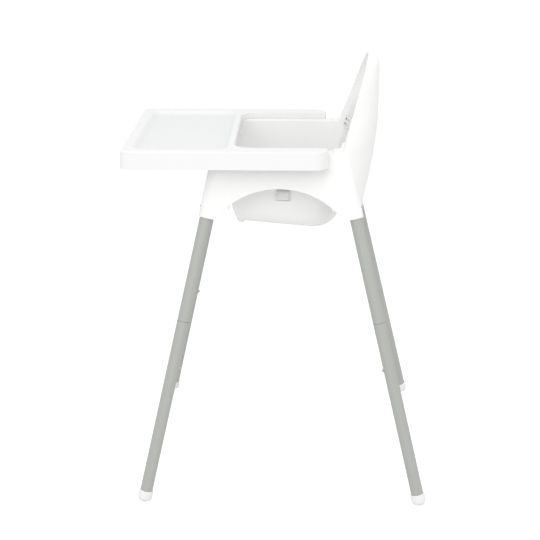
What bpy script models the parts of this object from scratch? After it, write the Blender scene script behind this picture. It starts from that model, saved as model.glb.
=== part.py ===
"""Baby high chair: moulded bucket seat on four splayed two-part legs, lift-off tray, five-point harness.

Metres, +Z up, floor at z = 0. The child faces -Y and the child's left hand is on +X.
The origin is the middle of the chair's footprint, on the floor.
"""

from math import asin, atan2, cos, pi, radians, sin, sqrt, tan

import bmesh
import bpy
from mathutils import Matrix, Quaternion, Vector

# Legs: a straight axis from the floor to the socket mouth, carried on into the socket.
FOOT_X = 0.276
FOOT_Y = {"front": -0.279, "rear": 0.300}
MOUTH_X = 0.165
MOUTH_Y = {"front": -0.1455, "rear": 0.1580}
MOUTH_Z = 0.590
LEG_RADIUS = 0.0127
LEG_WALL = 0.0013
LEG_TOP_Z = 0.678
LEG_JOINT_Z = 0.379
SPIGOT_LENGTH = 0.140
SPIGOT_GAP = 0.0004
GLIDE_RADIUS = 0.0148
GLIDE_HEIGHT = 0.021
SIDES = {"left": 1.0, "right": -1.0}
ENDS = {"front": -1.0, "rear": 1.0}

# Leg sockets, and the snap buttons that lock each leg in its socket and each lower tube on its spigot.
SOCKET_RADIUS = 0.0158
SOCKET_BORE = 0.0131
SOCKET_BUTTON_Z = 0.610
SOCKET_BUTTON_PROUD = 0.0012
JOINT_BUTTON_Z = 0.283
JOINT_BUTTON_PROUD = 0.0036
BUTTON_RADIUS = 0.0032
BUTTON_HOLE = 0.0036
BUTTON_TRAVEL = 0.0042
BUTTON_SHOULDER = 0.0050
BUTTON_HEAD = 0.0016

# Seat shell.
WALL = 0.0032
RIM_Z = 0.7215
BACK_TOP_Z = 0.900
HOLLOW_TOP_Z = 0.866
WING_Z = 0.740
WING_Y = 0.135
WING_SLOPE = 0.30
SEAT_FLOOR_Z = 0.5635
SEAT_FALL = 0.088
SEAT_FILLET = 0.036
TUB_HALF_LOW = 0.117
TUB_HALF_RIM = 0.140
TUB_SHOULDER_Y = 0.060
TUB_POWER = 2.4
BACK_HALF = 0.1335
FLARE_HEIGHT = 0.085
FLARE_LEAN = 0.4
TUB_FRONT_Y = -0.112
CROSSBAR_Z = 0.690
LIP_LOW = Vector((0.0, -0.084, 0.562))
LIP_HIGH = Vector((0.0, -0.120, 0.700))
BEAD_WIDTH = 0.010
BEAD_PROUD = 0.0042

# Tray.
TRAY_HALF = 0.200
TRAY_FRONT_Y = -0.3110
TRAY_END_Y = 0.100
TRAY_TOP_Z = 0.735
TRAY_SKIRT_Z = 0.698
TRAY_DRAFT = 0.0015
TRAY_WALL = 0.0028
TRAY_OPENING_HALF = 0.162
TRAY_OPENING_Y = -0.088
PLAY_FLOOR_Z = 0.7245
PLAY_HALF = 0.171
PLAY_FRONT_Y = -0.284
PLAY_REAR_Y = -0.107
PLAY_SLOPE = 0.007

# Harness.
WEBBING_WIDTH = 0.025
WEBBING_THICKNESS = 0.0014
SHOULDER_SLOT = Vector((0.069, 0.0, 0.790))
WAIST_SLOT_Y = 0.010
WAIST_SLOTS_Z = (0.617, 0.638)
CROTCH_SLOT_Y = -0.052
SLOT_LENGTH = 0.031
SLOT_HEIGHT = 0.0045
BUCKLE_CENTRE = Vector((0.0, 0.004, 0.5665))
BUCKLE_SIZE = Vector((0.048, 0.036, 0.017))


# ---------------------------------------------------------------- scene and materials


def clear_scene():
    for obj in list(bpy.data.objects):
        bpy.data.objects.remove(obj, do_unlink=True)


def new_collection(name):
    collection = bpy.data.collections.new(name)
    bpy.context.scene.collection.children.link(collection)
    return collection


def new_material(name, colour, roughness, metallic=0.0):
    material = bpy.data.materials.new(name)
    material.use_nodes = True
    shader = material.node_tree.nodes["Principled BSDF"]
    shader.inputs["Base Color"].default_value = (*colour, 1.0)
    shader.inputs["Roughness"].default_value = roughness
    shader.inputs["Metallic"].default_value = metallic
    material.diffuse_color = (*colour, 1.0)
    return material


def new_object(name, mesh, material=None):
    """A part when it has a material, a cutter when it has none."""
    obj = bpy.data.objects.new(name, mesh)
    if material is None:
        CUTTERS.objects.link(obj)
        obj.hide_render = True
        obj.display_type = "WIRE"
    else:
        PARTS.objects.link(obj)
        mesh.materials.append(material)
    return obj


def boolean(obj, other, operation):
    modifier = obj.modifiers.new(f"{operation.lower()} {other.name}", "BOOLEAN")
    modifier.operation = operation
    modifier.object = other
    modifier.solver = "MANIFOLD"


def cut(obj, *cutters):
    for cutter in cutters:
        boolean(obj, cutter, "DIFFERENCE")


def join(obj, *pieces):
    for piece in pieces:
        boolean(obj, piece, "UNION")


# ---------------------------------------------------------------- shapes


def rounded_outline(corners, steps=6):
    """A closed outline through (x, y, radius) corners, each rounded by an arc."""
    points = []
    count = len(corners)
    for index, (x, y, radius) in enumerate(corners):
        corner = Vector((x, y))
        before = (Vector(corners[index - 1][:2]) - corner).normalized()
        after = (Vector(corners[(index + 1) % count][:2]) - corner).normalized()
        if radius <= 0.0:
            points.append(corner)
            continue
        half_angle = before.angle(after) / 2
        bisector = (before + after).normalized()
        centre = corner + bisector * (radius / sin(half_angle))
        first = corner + before * (radius / tan(half_angle)) - centre
        turn = pi - 2 * half_angle
        clockwise = before.cross(after) > 0
        for part in range(steps + 1):
            angle = turn * part / steps * (-1 if clockwise else 1)
            points.append(centre + Matrix.Rotation(angle, 2) @ first)
    return points


def mirrored(corners):
    """The whole outline of a half given from its front middle to its rear middle, at x >= 0."""
    return corners + [(-x, y, radius) for x, y, radius in reversed(corners[1:-1])]


def loft_mesh(name, loops):
    """A closed solid through loops of equally many points."""
    shape = bmesh.new()
    rings = [[shape.verts.new(point) for point in loop] for loop in loops]
    count = len(rings[0])
    for low, high in zip(rings, rings[1:]):
        for index in range(count):
            after = (index + 1) % count
            shape.faces.new((low[index], low[after], high[after], high[index]))
    shape.faces.new(list(reversed(rings[0])))
    shape.faces.new(rings[-1])
    bmesh.ops.recalc_face_normals(shape, faces=shape.faces)
    mesh = bpy.data.meshes.new(name)
    shape.to_mesh(mesh)
    shape.free()
    return mesh


def loft(name, loops, material=None):
    return new_object(name, loft_mesh(name, loops), material)


def level(outline, z):
    return [(point[0], point[1], z) for point in outline]


def prism(name, outline, low, high, axes, material=None):
    """An outline drawn in the plane of two axes and pulled from low to high along the third."""
    third = ({0, 1, 2} - set(axes)).pop()
    loops = []
    for distance in (low, high):
        loop = []
        for point in outline:
            place = [0.0, 0.0, 0.0]
            place[axes[0]], place[axes[1]], place[third] = point[0], point[1], distance
            loop.append(place)
        loops.append(loop)
    return loft(name, loops, material)


def block(name, size, centre, rotation=None, material=None, bevel=0.0):
    shape = bmesh.new()
    bmesh.ops.create_cube(shape, size=1.0)
    bmesh.ops.scale(shape, vec=size, verts=shape.verts)
    mesh = bpy.data.meshes.new(name)
    shape.to_mesh(mesh)
    shape.free()
    obj = new_object(name, mesh, material)
    if rotation is not None:
        obj.rotation_mode = "QUATERNION"
        obj.rotation_quaternion = rotation
    obj.location = centre
    if bevel:
        modifier = obj.modifiers.new("rounded edges", "BEVEL")
        modifier.width = bevel
        modifier.segments = 2
    return obj


def turned(name, profile, steps=24, material=None):
    """A profile of (radius, height) points, down its outer side, turned about local Z."""
    mesh = bpy.data.meshes.new(name)
    ends_on_axis = profile[0][0] == 0.0 and profile[-1][0] == 0.0
    edges = [(index, index + 1) for index in range(len(profile) - 1)]
    if not ends_on_axis:
        edges.append((len(profile) - 1, 0))
    mesh.from_pydata([(radius, 0.0, height) for radius, height in profile], edges, [])
    obj = new_object(name, mesh, material)
    screw = obj.modifiers.new("turned", "SCREW")
    screw.axis = "Z"
    screw.angle = 2 * pi
    screw.steps = steps
    screw.render_steps = steps
    screw.use_merge_vertices = True
    screw.merge_threshold = 1e-5
    return obj


def aim(obj, place, direction, roll=0.0):
    """Puts the object's origin at a place, with its local Z along a direction."""
    obj.rotation_mode = "QUATERNION"
    obj.rotation_quaternion = direction.to_track_quat("Z", "Y") @ Quaternion((0.0, 0.0, 1.0), roll)
    obj.location = place


def ribbon(name, path, across, width, thickness, material):
    """Webbing of a rectangular section along a path, its width along the given direction."""
    loops = []
    for index, place in enumerate(path):
        ahead = path[min(index + 1, len(path) - 1)] - path[max(index - 1, 0)]
        side = across.normalized()
        up = ahead.normalized().cross(side).normalized()
        side = up.cross(ahead.normalized()).normalized()
        half_side = side * width / 2
        half_up = up * thickness / 2
        loops.append(
            [
                place - half_side - half_up,
                place + half_side - half_up,
                place + half_side + half_up,
                place - half_side + half_up,
            ]
        )
    return loft(name, loops, material)


def smooth_path(points, per_span=4):
    """A Catmull-Rom curve through hand-placed points."""
    padded = [points[0] * 2 - points[1], *points, points[-1] * 2 - points[-2]]
    path = []
    for first, second, third, fourth in zip(padded, padded[1:], padded[2:], padded[3:]):
        for part in range(per_span):
            t = part / per_span
            path.append(
                0.5
                * (
                    2 * second
                    + (third - first) * t
                    + (2 * first - 5 * second + 4 * third - fourth) * t**2
                    + (3 * second - first - 3 * third + fourth) * t**3
                )
            )
    path.append(points[-1])
    return path


# ---------------------------------------------------------------- legs


def leg_point(side, end, z):
    """The point of a leg's axis at a height."""
    foot = Vector((SIDES[side] * FOOT_X, FOOT_Y[end], 0.0))
    mouth = Vector((SIDES[side] * MOUTH_X, MOUTH_Y[end], MOUTH_Z))
    return foot.lerp(mouth, z / MOUTH_Z)


def leg_direction(side, end):
    return (leg_point(side, end, 1.0) - leg_point(side, end, 0.0)).normalized()


def leg_along(side, end, z_low, z_high):
    return (leg_point(side, end, z_high) - leg_point(side, end, z_low)).length


def button_direction(side, end):
    """Square to the leg's axis, towards the front of a front leg and the rear of a rear leg."""
    axis = leg_direction(side, end)
    facing = Vector((0.0, ENDS[end], 0.0))
    return (facing - axis * facing.dot(axis)).normalized()


def make_button_hole(name, place, facing):
    profile = [(0.0, 0.03), (BUTTON_HOLE, 0.03), (BUTTON_HOLE, 0.0), (0.0, 0.0)]
    hole = turned(name, profile, steps=16)
    aim(hole, place, facing)
    return hole


def make_upper_leg(side, end):
    """A tube whose lower end is reduced to a spigot that goes down into the lower tube."""
    name = f"upper_leg_{end}_{side}"
    length = leg_along(side, end, LEG_JOINT_Z, LEG_TOP_Z)
    inner = LEG_RADIUS - LEG_WALL
    spigot = inner - SPIGOT_GAP
    bore = spigot - LEG_WALL
    profile = [
        (inner, length),
        (LEG_RADIUS, length),
        (LEG_RADIUS, 0.0),
        (spigot, 0.0),
        (spigot, 0.003 - SPIGOT_LENGTH),
        (spigot - 0.001, -SPIGOT_LENGTH),
        (bore, -SPIGOT_LENGTH),
        (bore, 0.002),
        (inner, 0.006),
    ]
    leg = turned(name, profile, material=STEEL)
    aim(leg, leg_point(side, end, LEG_JOINT_Z), leg_direction(side, end))
    facing = button_direction(side, end)
    cut(
        leg,
        make_button_hole(f"{name}_socket_hole", leg_point(side, end, SOCKET_BUTTON_Z), facing),
        make_button_hole(f"{name}_joint_hole", leg_point(side, end, JOINT_BUTTON_Z), -facing),
    )


def make_lower_leg(side, end):
    name = f"lower_leg_{end}_{side}"
    length = leg_along(side, end, GLIDE_HEIGHT, LEG_JOINT_Z) - SPIGOT_GAP
    inner = LEG_RADIUS - LEG_WALL
    profile = [(inner, length), (LEG_RADIUS, length), (LEG_RADIUS, 0.0), (inner, 0.0)]
    leg = turned(name, profile, material=STEEL)
    aim(leg, leg_point(side, end, GLIDE_HEIGHT), leg_direction(side, end))
    facing = -button_direction(side, end)
    cut(leg, make_button_hole(f"{name}_joint_hole", leg_point(side, end, JOINT_BUTTON_Z), facing))


def make_foot_glide(side, end):
    """A plug in the tube's end, with a domed foot flattened where it meets the floor."""
    gap = 0.0003
    stem = LEG_RADIUS - LEG_WALL - gap
    collar = leg_along(side, end, 0.0, GLIDE_HEIGHT) - gap
    dome = 0.008
    profile = [
        (0.0, collar + 0.022),
        (stem - 0.0015, collar + 0.022),
        (stem, collar + 0.018),
        (stem, collar),
        (GLIDE_RADIUS - 0.001, collar),
        (GLIDE_RADIUS, collar - 0.002),
    ]
    for part in range(6):
        angle = part / 5 * pi / 2
        drop = dome * 1.35 * sin(angle)
        profile.append((GLIDE_RADIUS * cos(angle) ** 0.7 if part < 5 else 0.0, dome - drop))
    glide = turned(f"foot_glide_{end}_{side}", profile, material=GLIDE_PLASTIC)
    aim(glide, leg_point(side, end, 0.0), leg_direction(side, end))
    floor = block(
        f"foot_floor_{end}_{side}",
        (0.08, 0.08, 0.04),
        Vector((SIDES[side] * FOOT_X, FOOT_Y[end], -0.02)),
    )
    cut(glide, floor)


def button_seat(bore):
    """How far from the tube's axis the button's shoulder can come before it meets the tube."""
    return sqrt(bore**2 - BUTTON_SHOULDER**2) - 0.0004


def make_snap_button(name, place, facing, bore, crown):
    """A button that shows in its hole and is pushed in to free what is locked round the tube."""
    inner = button_seat(bore)
    profile = [
        (0.0, crown),
        (BUTTON_RADIUS * 0.6, crown - 0.0003),
        (BUTTON_RADIUS, crown - 0.0013),
        (BUTTON_RADIUS, inner),
        (BUTTON_SHOULDER, inner),
        (BUTTON_SHOULDER, inner - BUTTON_HEAD),
        (0.0, inner - BUTTON_HEAD),
    ]
    button = turned(name, profile, steps=16, material=BUTTON_STEEL)
    aim(button, place, facing)


def make_snap_spring(name, place, axis, facing, bore):
    """A U of spring steel in the tube: one leaf ends below the button, the other lies on the far wall."""
    across = axis.cross(facing)
    near = button_seat(bore) - BUTTON_HEAD - BUTTON_TRAVEL - 0.0010
    far = -(bore - 0.0016)
    middle = (near + far) / 2
    radius = (near - far) / 2
    path = [place + axis * 0.008 + facing * near, place - axis * 0.018 + facing * near]
    for part in range(1, 8):
        angle = part / 8 * pi
        path.append(
            place - axis * (0.018 + radius * sin(angle)) + facing * (middle + radius * cos(angle))
        )
    path += [place - axis * 0.018 + facing * far, place + axis * 0.006 + facing * far]
    ribbon(name, path, across, 0.007, 0.0008, SPRING_STEEL)


def make_leg_fasteners(side, end):
    """The snap buttons and springs of the leg's socket and joint. The joint's face the chair's middle."""
    axis = leg_direction(side, end)
    outward = button_direction(side, end)
    tube_bore = LEG_RADIUS - LEG_WALL
    spigot_bore = tube_bore - SPIGOT_GAP - LEG_WALL
    place = leg_point(side, end, SOCKET_BUTTON_Z)
    crown = SOCKET_RADIUS + SOCKET_BUTTON_PROUD
    make_snap_button(f"leg_button_{end}_{side}", place, outward, tube_bore, crown)
    make_snap_spring(f"leg_spring_{end}_{side}", place, axis, outward, tube_bore)
    place = leg_point(side, end, JOINT_BUTTON_Z)
    crown = LEG_RADIUS + JOINT_BUTTON_PROUD
    make_snap_button(f"joint_button_{end}_{side}", place, -outward, spigot_bore, crown)
    make_snap_spring(f"joint_spring_{end}_{side}", place, axis, -outward, spigot_bore)


# ---------------------------------------------------------------- seat shell


def apron_half(z):
    return 0.181 - 0.139 * (z - MOUTH_Z)


def apron_front(z):
    return -0.1605 + 0.245 * (z - MOUTH_Z)


def apron_crease(z):
    return 0.1686 - 0.234 * (z - MOUTH_Z)


def back_rear(z):
    """The rear face on the middle plane: upright behind the back, easing forward towards the sockets."""
    upright = 0.2062
    if z > 0.80:
        return upright
    return upright - 0.70 * (0.80 - z) ** 2


def seat_back(z):
    """The seat's inner back on the middle plane: it leans with the wings until it meets the rear face."""
    lean = 0.1295 + WING_SLOPE * max(0.0, z - 0.600)
    meeting = back_rear(z) - WALL
    blend = 0.012
    return -sqrt(((meeting - lean) / 2) ** 2 + blend**2 / 4) + (lean + meeting) / 2


def apron_outline(z, inset):
    """Flat sides and front, and a rear that bows out between two creases behind the rear sockets."""
    half = apron_half(z) - inset
    front = apron_front(z) + inset
    crease = apron_crease(z) - inset * 0.6
    rear = back_rear(z) - inset
    bow = rear - crease
    radius = (half**2 + bow**2) / (2 * bow)
    corner = 0.016 - inset
    corners = [(0.0, front, 0.0), (half, front, corner), (half, crease, 0.010)]
    corners.append((half * 0.9, crease + 0.2 * bow, 0.0))
    half_outline = rounded_outline(corners)[:-1]
    opening = asin(half / radius)
    start = 0.93
    arc = []
    for part in range(13):
        angle = opening * start * (1 - part / 12)
        arc.append(Vector((radius * sin(angle), rear - radius * (1 - cos(angle)))))
    right = half_outline + arc
    left = [Vector((-point.x, point.y)) for point in reversed(right[1:-1])]
    return right + left


def make_apron(name, inset, low, high):
    levels = [low + (high - low) * part / 6 for part in range(7)]
    return loft(name, [level(apron_outline(z, inset), z) for z in levels])


def rounded_top(z, half, top, power):
    """Half a width that is constant up to the wings' foot and closes over the top in a superellipse."""
    share = max(0.0, (z - WING_Z) / (top - WING_Z))
    return half * max(0.0, 1 - share**power) ** (1 / power)


def tub_half(z):
    if z >= RIM_Z:
        return rounded_top(z, TUB_HALF_RIM, BACK_TOP_Z - 0.0032, 2.0)
    share = (z - SEAT_FLOOR_Z) / (RIM_Z - SEAT_FLOOR_Z)
    return TUB_HALF_LOW + (TUB_HALF_RIM - TUB_HALF_LOW) * share


def tub_outline(half, front, rear, grow, steps=11, corner=0.030):
    """A flat front with rounded corners, straight sides, and a superellipse behind the shoulder line."""
    half += grow
    front -= grow
    rear += grow
    corner += grow
    right = rounded_outline([(0.0, front, 0.0), (half, front, corner), (half, TUB_SHOULDER_Y, 0.0)])
    for part in range(1, steps + 1):
        angle = part / steps * pi / 2
        right.append(
            Vector(
                (
                    half * cos(angle) ** (2 / TUB_POWER) if part < steps else 0.0,
                    TUB_SHOULDER_Y + (rear - TUB_SHOULDER_Y) * sin(angle) ** (2 / TUB_POWER),
                )
            )
        )
    left = [Vector((-point.x, point.y)) for point in reversed(right[1:-1])]
    return right + left


def seat_fall(y, z):
    """How far the bowl drops towards the rear, fading out with height."""
    share = min(1.0, max(0.0, (0.66 - z) / (0.66 - SEAT_FLOOR_Z)))
    return SEAT_FALL * (y - LIP_LOW.y) * share


def top_shrink(z, start, power, share):
    """How the back curves forward as it nears its top."""
    return 1.0 - share * max(0.0, (z - start) / (BACK_TOP_Z - start)) ** power


def make_tub(name, grow, front, step_z, top):
    """The seat's hollow: a bowl with a filleted bottom edge and an open front, then from step_z
    up a hollow that ends behind the crossbar, narrowing between the wings to the top of the back."""
    loops = []
    fillet = SEAT_FILLET + grow
    floor = SEAT_FLOOR_Z - grow
    for part in range(7):
        angle = part / 6 * pi / 2
        z = floor + fillet * (1 - cos(angle))
        inset = fillet * (1 - sin(angle))
        outline = tub_outline(tub_half(z) - inset, front, seat_back(z) - inset, grow)
        loops.append([(p.x, p.y, z - seat_fall(p.y, z)) for p in outline])
    start = floor + fillet
    for part in range(1, 6):
        z = start + (step_z - start) * part / 5
        outline = tub_outline(tub_half(z), front, seat_back(z), grow)
        loops.append([(p.x, p.y, z - seat_fall(p.y, z)) for p in outline])
    levels = [step_z + 0.0005, 0.5 * (step_z + RIM_Z), RIM_Z, WING_Z]
    while levels[-1] < BACK_TOP_Z - 0.040:
        levels.append(levels[-1] + 0.020)
    levels += [BACK_TOP_Z - 0.025, BACK_TOP_Z - 0.014, BACK_TOP_Z - 0.0065]
    for z in levels:
        if z > top:
            break
        half = tub_half(z)
        rear = TUB_SHOULDER_Y + (seat_back(z) - TUB_SHOULDER_Y) * top_shrink(z, 0.870, 2.0, 0.10)
        corner = min(0.030, half * 0.7)
        loops.append(level(tub_outline(half, TUB_FRONT_Y, rear, grow, corner=corner), z))
    return loft(name, loops)


def back_outline(z, inset):
    half = rounded_top(z, BACK_HALF, BACK_TOP_Z, 2.4)
    rear = TUB_SHOULDER_Y + (back_rear(z) - TUB_SHOULDER_Y) * top_shrink(z, 0.868, 2.5, 0.11)
    return tub_outline(half, 0.02, rear, -inset, corner=min(0.010, half * 0.5) + inset)


def make_back(name, inset, top=BACK_TOP_Z):
    """The back's outer skin from below the rim to its rounded top, or to a lower level."""
    levels = [0.700, 0.720, WING_Z, 0.765, 0.790, 0.815, 0.835, 0.850, 0.865, 0.877]
    levels += [0.886, 0.892, 0.8965, 0.8993]
    loops = []
    for z in [height for height in levels if height < top]:
        lowered = z - inset * max(0.0, (z - WING_Z) / (BACK_TOP_Z - WING_Z))
        loops.append(level(back_outline(z, inset), lowered))
    return loft(name, loops)


def wing_cutter(name, inset):
    """Everything in front of the wings' leaning front edge."""
    lean = atan2(WING_SLOPE, 1.0)
    along = Vector((0.0, sin(lean), cos(lean)))
    ahead = Vector((0.0, -cos(lean), sin(lean)))
    foot = Vector((0.0, WING_Y, WING_Z)) - ahead * inset
    centre = foot + ahead * 0.15 + along * 0.02
    return block(name, (0.5, 0.30, 0.50), centre, Matrix.Rotation(-lean, 3, "X").to_quaternion())


def reach(outline, angle):
    """How far an outline lies from the middle of the shoulder line in one direction."""
    ahead = Vector((cos(angle), sin(angle)))
    farthest = 0.0
    for first, second in zip(outline, outline[1:] + outline[:1]):
        side = second - first
        turn = ahead.cross(side)
        if abs(turn) < 1e-9:
            continue
        offset = first - Vector((0.0, TUB_SHOULDER_Y))
        distance = offset.cross(side) / turn
        if -1e-6 <= offset.cross(ahead) / turn <= 1.000001:
            farthest = max(farthest, distance)
    return farthest


def make_flare(name, inset, levels=9, steps=48):
    """Carries the apron's rear corners smoothly up into the wings and the back."""
    angles = [pi * part / steps for part in range(steps + 1)]
    apron = apron_outline(RIM_Z, inset)
    back = back_outline(RIM_Z, inset)
    surplus = [reach(apron, angle) - reach(back, angle) for angle in angles]
    loops = []
    for part in range(levels + 1):
        share = part / levels
        z = RIM_Z + FLARE_HEIGHT * share
        spread = 2 * share**3 - 3 * share**2 + 1 - FLARE_LEAN * (share**3 - 2 * share**2 + share)
        back = back_outline(z, inset)
        outline = []
        for angle, extra in zip(angles, surplus):
            distance = reach(back, angle) + extra * spread - 0.0001
            outline.append((distance * cos(angle), TUB_SHOULDER_Y + distance * sin(angle)))
        loops.append(level(outline, z))
    loops.insert(0, level(loops[0], RIM_Z - inset - WALL / 2))
    flare = loft(name, loops)
    cut(flare, wing_cutter(f"{name}_front", inset))
    return flare


def lip_rotation():
    lean = atan2(LIP_LOW.y - LIP_HIGH.y, LIP_HIGH.z - LIP_LOW.z)
    return Matrix.Rotation(lean, 3, "X").to_quaternion()


def lip_normal():
    return lip_rotation() @ Vector((0.0, -1.0, 0.0))


def lip_slab(name, thickness, size=0.5):
    """A slab just behind the plane of the tub's open front."""
    middle = LIP_LOW.lerp(LIP_HIGH, 0.5)
    centre = middle - lip_normal() * thickness / 2
    return block(name, (size, thickness, size), centre, lip_rotation())


def arch_cutter(name, axis, centre, crown, half_span, springing, low, high):
    """A round-headed opening through an apron, which flares out below its springing to the sockets."""
    rise = crown - springing
    radius = (half_span**2 + rise**2) / (2 * rise)
    opening = asin(half_span / radius)
    flare = 0.018
    outline = []
    for sign in (-1, 1):
        wide = centre + sign * (half_span + flare)
        outline += [(wide, springing - flare), (wide, 0.50)][::-sign]
    for part in range(21):
        angle = opening * (1 - part / 10)
        outline.append((centre + radius * sin(angle), crown - radius * (1 - cos(angle))))
    return prism(name, outline, low, high, axis)


def make_socket(side, end):
    """A cone round the leg's top, square to it at its mouth."""
    length = leg_along(side, end, MOUTH_Z, 0.700)
    profile = [
        (0.0, length),
        (SOCKET_RADIUS + 0.0015, length),
        (SOCKET_RADIUS, -0.0005),
        (0.0, -0.0005),
    ]
    socket = turned(f"socket_{end}_{side}", profile, steps=32)
    aim(socket, leg_point(side, end, MOUTH_Z), leg_direction(side, end))
    return socket


def make_socket_bore(side, end):
    start = -0.05
    length = leg_along(side, end, MOUTH_Z, LEG_TOP_Z) + 0.0015
    profile = [(0.0, length), (SOCKET_BORE, length), (SOCKET_BORE, start), (0.0, start)]
    bore = turned(f"socket_bore_{end}_{side}", profile, steps=24)
    aim(bore, leg_point(side, end, MOUTH_Z), leg_direction(side, end))
    return bore


def make_mouth_trim(side, end):
    """A disc below the socket's mouth, square to the leg, that ends the apron there."""
    profile = [(0.0, 0.0), (0.043, 0.0), (0.043, -0.06), (0.0, -0.06)]
    trim = turned(f"mouth_trim_{end}_{side}", profile, steps=20)
    aim(trim, leg_point(side, end, MOUTH_Z), leg_direction(side, end), roll=radians(4))
    return trim


def make_button_bore(side, end):
    profile = [(0.0, 0.04), (BUTTON_HOLE, 0.04), (BUTTON_HOLE, 0.0), (0.0, 0.0)]
    bore = turned(f"button_bore_{end}_{side}", profile, steps=14)
    place = leg_point(side, end, SOCKET_BUTTON_Z)
    aim(bore, place, button_direction(side, end), roll=radians(7))
    return bore


def make_gusset(side, end):
    """A rib across the space between the tub and the apron, beside a socket."""
    y = {"front": -0.100, "rear": 0.110}[end]
    x = SIDES[side]
    low, high = 0.607, RIM_Z - WALL / 2
    outer_low = apron_half(low) - WALL / 2
    outer_high = apron_half(high) - WALL / 2
    outline = [(x * 0.112, low), (x * outer_low, low), (x * outer_high, high), (x * 0.136, high)]
    if x < 0:
        outline.reverse()
    return prism(f"gusset_{end}_{side}", outline, y - 0.0013, y + 0.0013, (0, 2))


def make_leg_post():
    """The post between the child's legs, from the crossbar down to the seat's front lip."""
    middle = LIP_LOW.lerp(LIP_HIGH, 0.5)
    length = (LIP_HIGH - LIP_LOW).length + 0.006
    centre = middle - lip_normal() * 0.0065
    return block("leg_post", (0.028, 0.011, length), centre, lip_rotation())


def make_slot_cutters():
    cutters = []
    for side, sign in SIDES.items():
        shoulder = Vector((sign * SHOULDER_SLOT.x, 0.178, SHOULDER_SLOT.z))
        turn = Matrix.Rotation(-sign * radians(20), 3, "Z").to_quaternion()
        size = (SLOT_LENGTH, 0.016, SLOT_HEIGHT)
        cutters.append(block(f"shoulder_slot_{side}", size, shoulder, turn))
        for z in WAIST_SLOTS_Z:
            place = Vector((sign * 0.127, WAIST_SLOT_Y, z))
            size = (0.024, SLOT_LENGTH, SLOT_HEIGHT)
            cutters.append(block(f"waist_slot_{side}_{z:.3f}", size, place))
    place = Vector((0.0, CROTCH_SLOT_Y, SEAT_FLOOR_Z))
    cutters.append(block("crotch_slot", (SLOT_LENGTH, SLOT_HEIGHT, 0.03), place))
    return cutters


def make_tub_skin():
    """The tub as a solid: bowl, beaded lip, and an upper part that ends within the back's skin."""
    tub = make_tub("tub_outside", WALL, -0.20, CROSSBAR_Z - 0.002, 1.0)
    ahead = lip_slab("ahead_of_lip", 0.30)
    ahead.location = LIP_LOW.lerp(LIP_HIGH, 0.5) + lip_normal() * 0.15
    cut(tub, ahead)
    above = block("above_rim", (0.5, 0.6, 0.3), Vector((0.0, 0.0, RIM_Z - WALL / 2 + 0.15)))
    back = make_back("back_middle", WALL / 2)
    cut(back, wing_cutter("wing_front_middle", WALL / 2))
    cut(above, back)
    cut(tub, above)
    bead = make_tub("lip_bead", WALL + BEAD_PROUD, -0.20, CROSSBAR_Z + 0.004, CROSSBAR_Z + 0.006)
    boolean(bead, lip_slab("lip_bead_slab", BEAD_WIDTH), "INTERSECT")
    join(tub, bead)
    return tub


def make_skin_hollow():
    """The space inside the apron and the back's skin."""
    hollow = make_apron("apron_hollow", WALL, 0.560, RIM_Z - WALL)
    back = make_back("back_hollow", WALL, HOLLOW_TOP_Z)
    cut(back, wing_cutter("wing_front_inside", WALL))
    join(hollow, back, make_flare("flare_hollow", WALL))
    return hollow


def make_seat_shell():
    """One moulding: an outer apron and back skin, an inner tub, sockets, gussets and the leg post."""
    levels = [0.575 + (RIM_Z - 0.575) * part / 6 for part in range(7)]
    shell = loft("seat_shell", [level(apron_outline(z, 0.0), z) for z in levels], SHELL_PLASTIC)
    back = make_back("back_outer", 0.0)
    cut(back, wing_cutter("wing_front", 0.0))
    join(shell, back)
    join(shell, make_flare("flare", 0.0))
    cut(shell, make_skin_hollow())
    cut(
        shell,
        arch_cutter("side_arches", (1, 2), 0.003, 0.6515, 0.120, 0.600, -0.30, 0.30),
        arch_cutter("front_arch", (0, 2), 0.0, 0.690, 0.133, 0.600, -0.30, 0.0),
        arch_cutter("rear_arch", (0, 2), 0.0, 0.652, 0.133, 0.600, 0.05, 0.30),
    )
    for end in ENDS:
        for side in SIDES:
            cut(shell, make_mouth_trim(side, end))
            join(shell, make_socket(side, end))
    join(shell, make_tub_skin())
    for end in ENDS:
        for side in SIDES:
            join(shell, make_gusset(side, end))
    cut(shell, make_tub("tub_inside", 0.0, -0.30, CROSSBAR_Z, 1.0))
    join(shell, make_leg_post())
    for end in ENDS:
        for side in SIDES:
            cut(shell, make_socket_bore(side, end), make_button_bore(side, end))
    cut(shell, *make_slot_cutters())
    return shell


# ---------------------------------------------------------------- tray


def tray_outline(grow):
    """A U in plan: square front corners lightly rounded, two arms round the child's body."""
    half = TRAY_HALF + grow
    inner = TRAY_OPENING_HALF - grow
    front = TRAY_FRONT_Y - grow
    end = TRAY_END_Y + grow
    opening = TRAY_OPENING_Y + grow
    corners = [
        (0.0, front, 0.0),
        (half, front, 0.012 + grow),
        (half, end, 0.029 + grow),
        (inner, end, 0.0075 + grow),
        (inner, opening, 0.034 - grow),
        (0.0, opening, 0.0),
    ]
    return rounded_outline(mirrored(corners))


def play_outline(grow):
    half = PLAY_HALF + grow
    front = PLAY_FRONT_Y - grow
    rear = PLAY_REAR_Y + grow
    corner = 0.018 + grow
    right = [(half, front, corner), (half, rear, corner)]
    left = [(-half, rear, corner), (-half, front, corner)]
    return rounded_outline(right + left)


def make_rim_clearance():
    """The room the tray leaves for the seat's rim and apron, up to the rim that it rests on."""
    front, rear = -0.140, 0.140
    loops = []
    for z in (TRAY_SKIRT_Z - 0.020, TRAY_SKIRT_Z, RIM_Z + 0.0005):
        half = max(TRAY_OPENING_HALF + TRAY_WALL + 0.0006, apron_half(z) + 0.0010)
        loops.append([(-half, front, z), (half, front, z), (half, rear, z), (-half, rear, z)])
    return loft("rim_clearance", loops)


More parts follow.
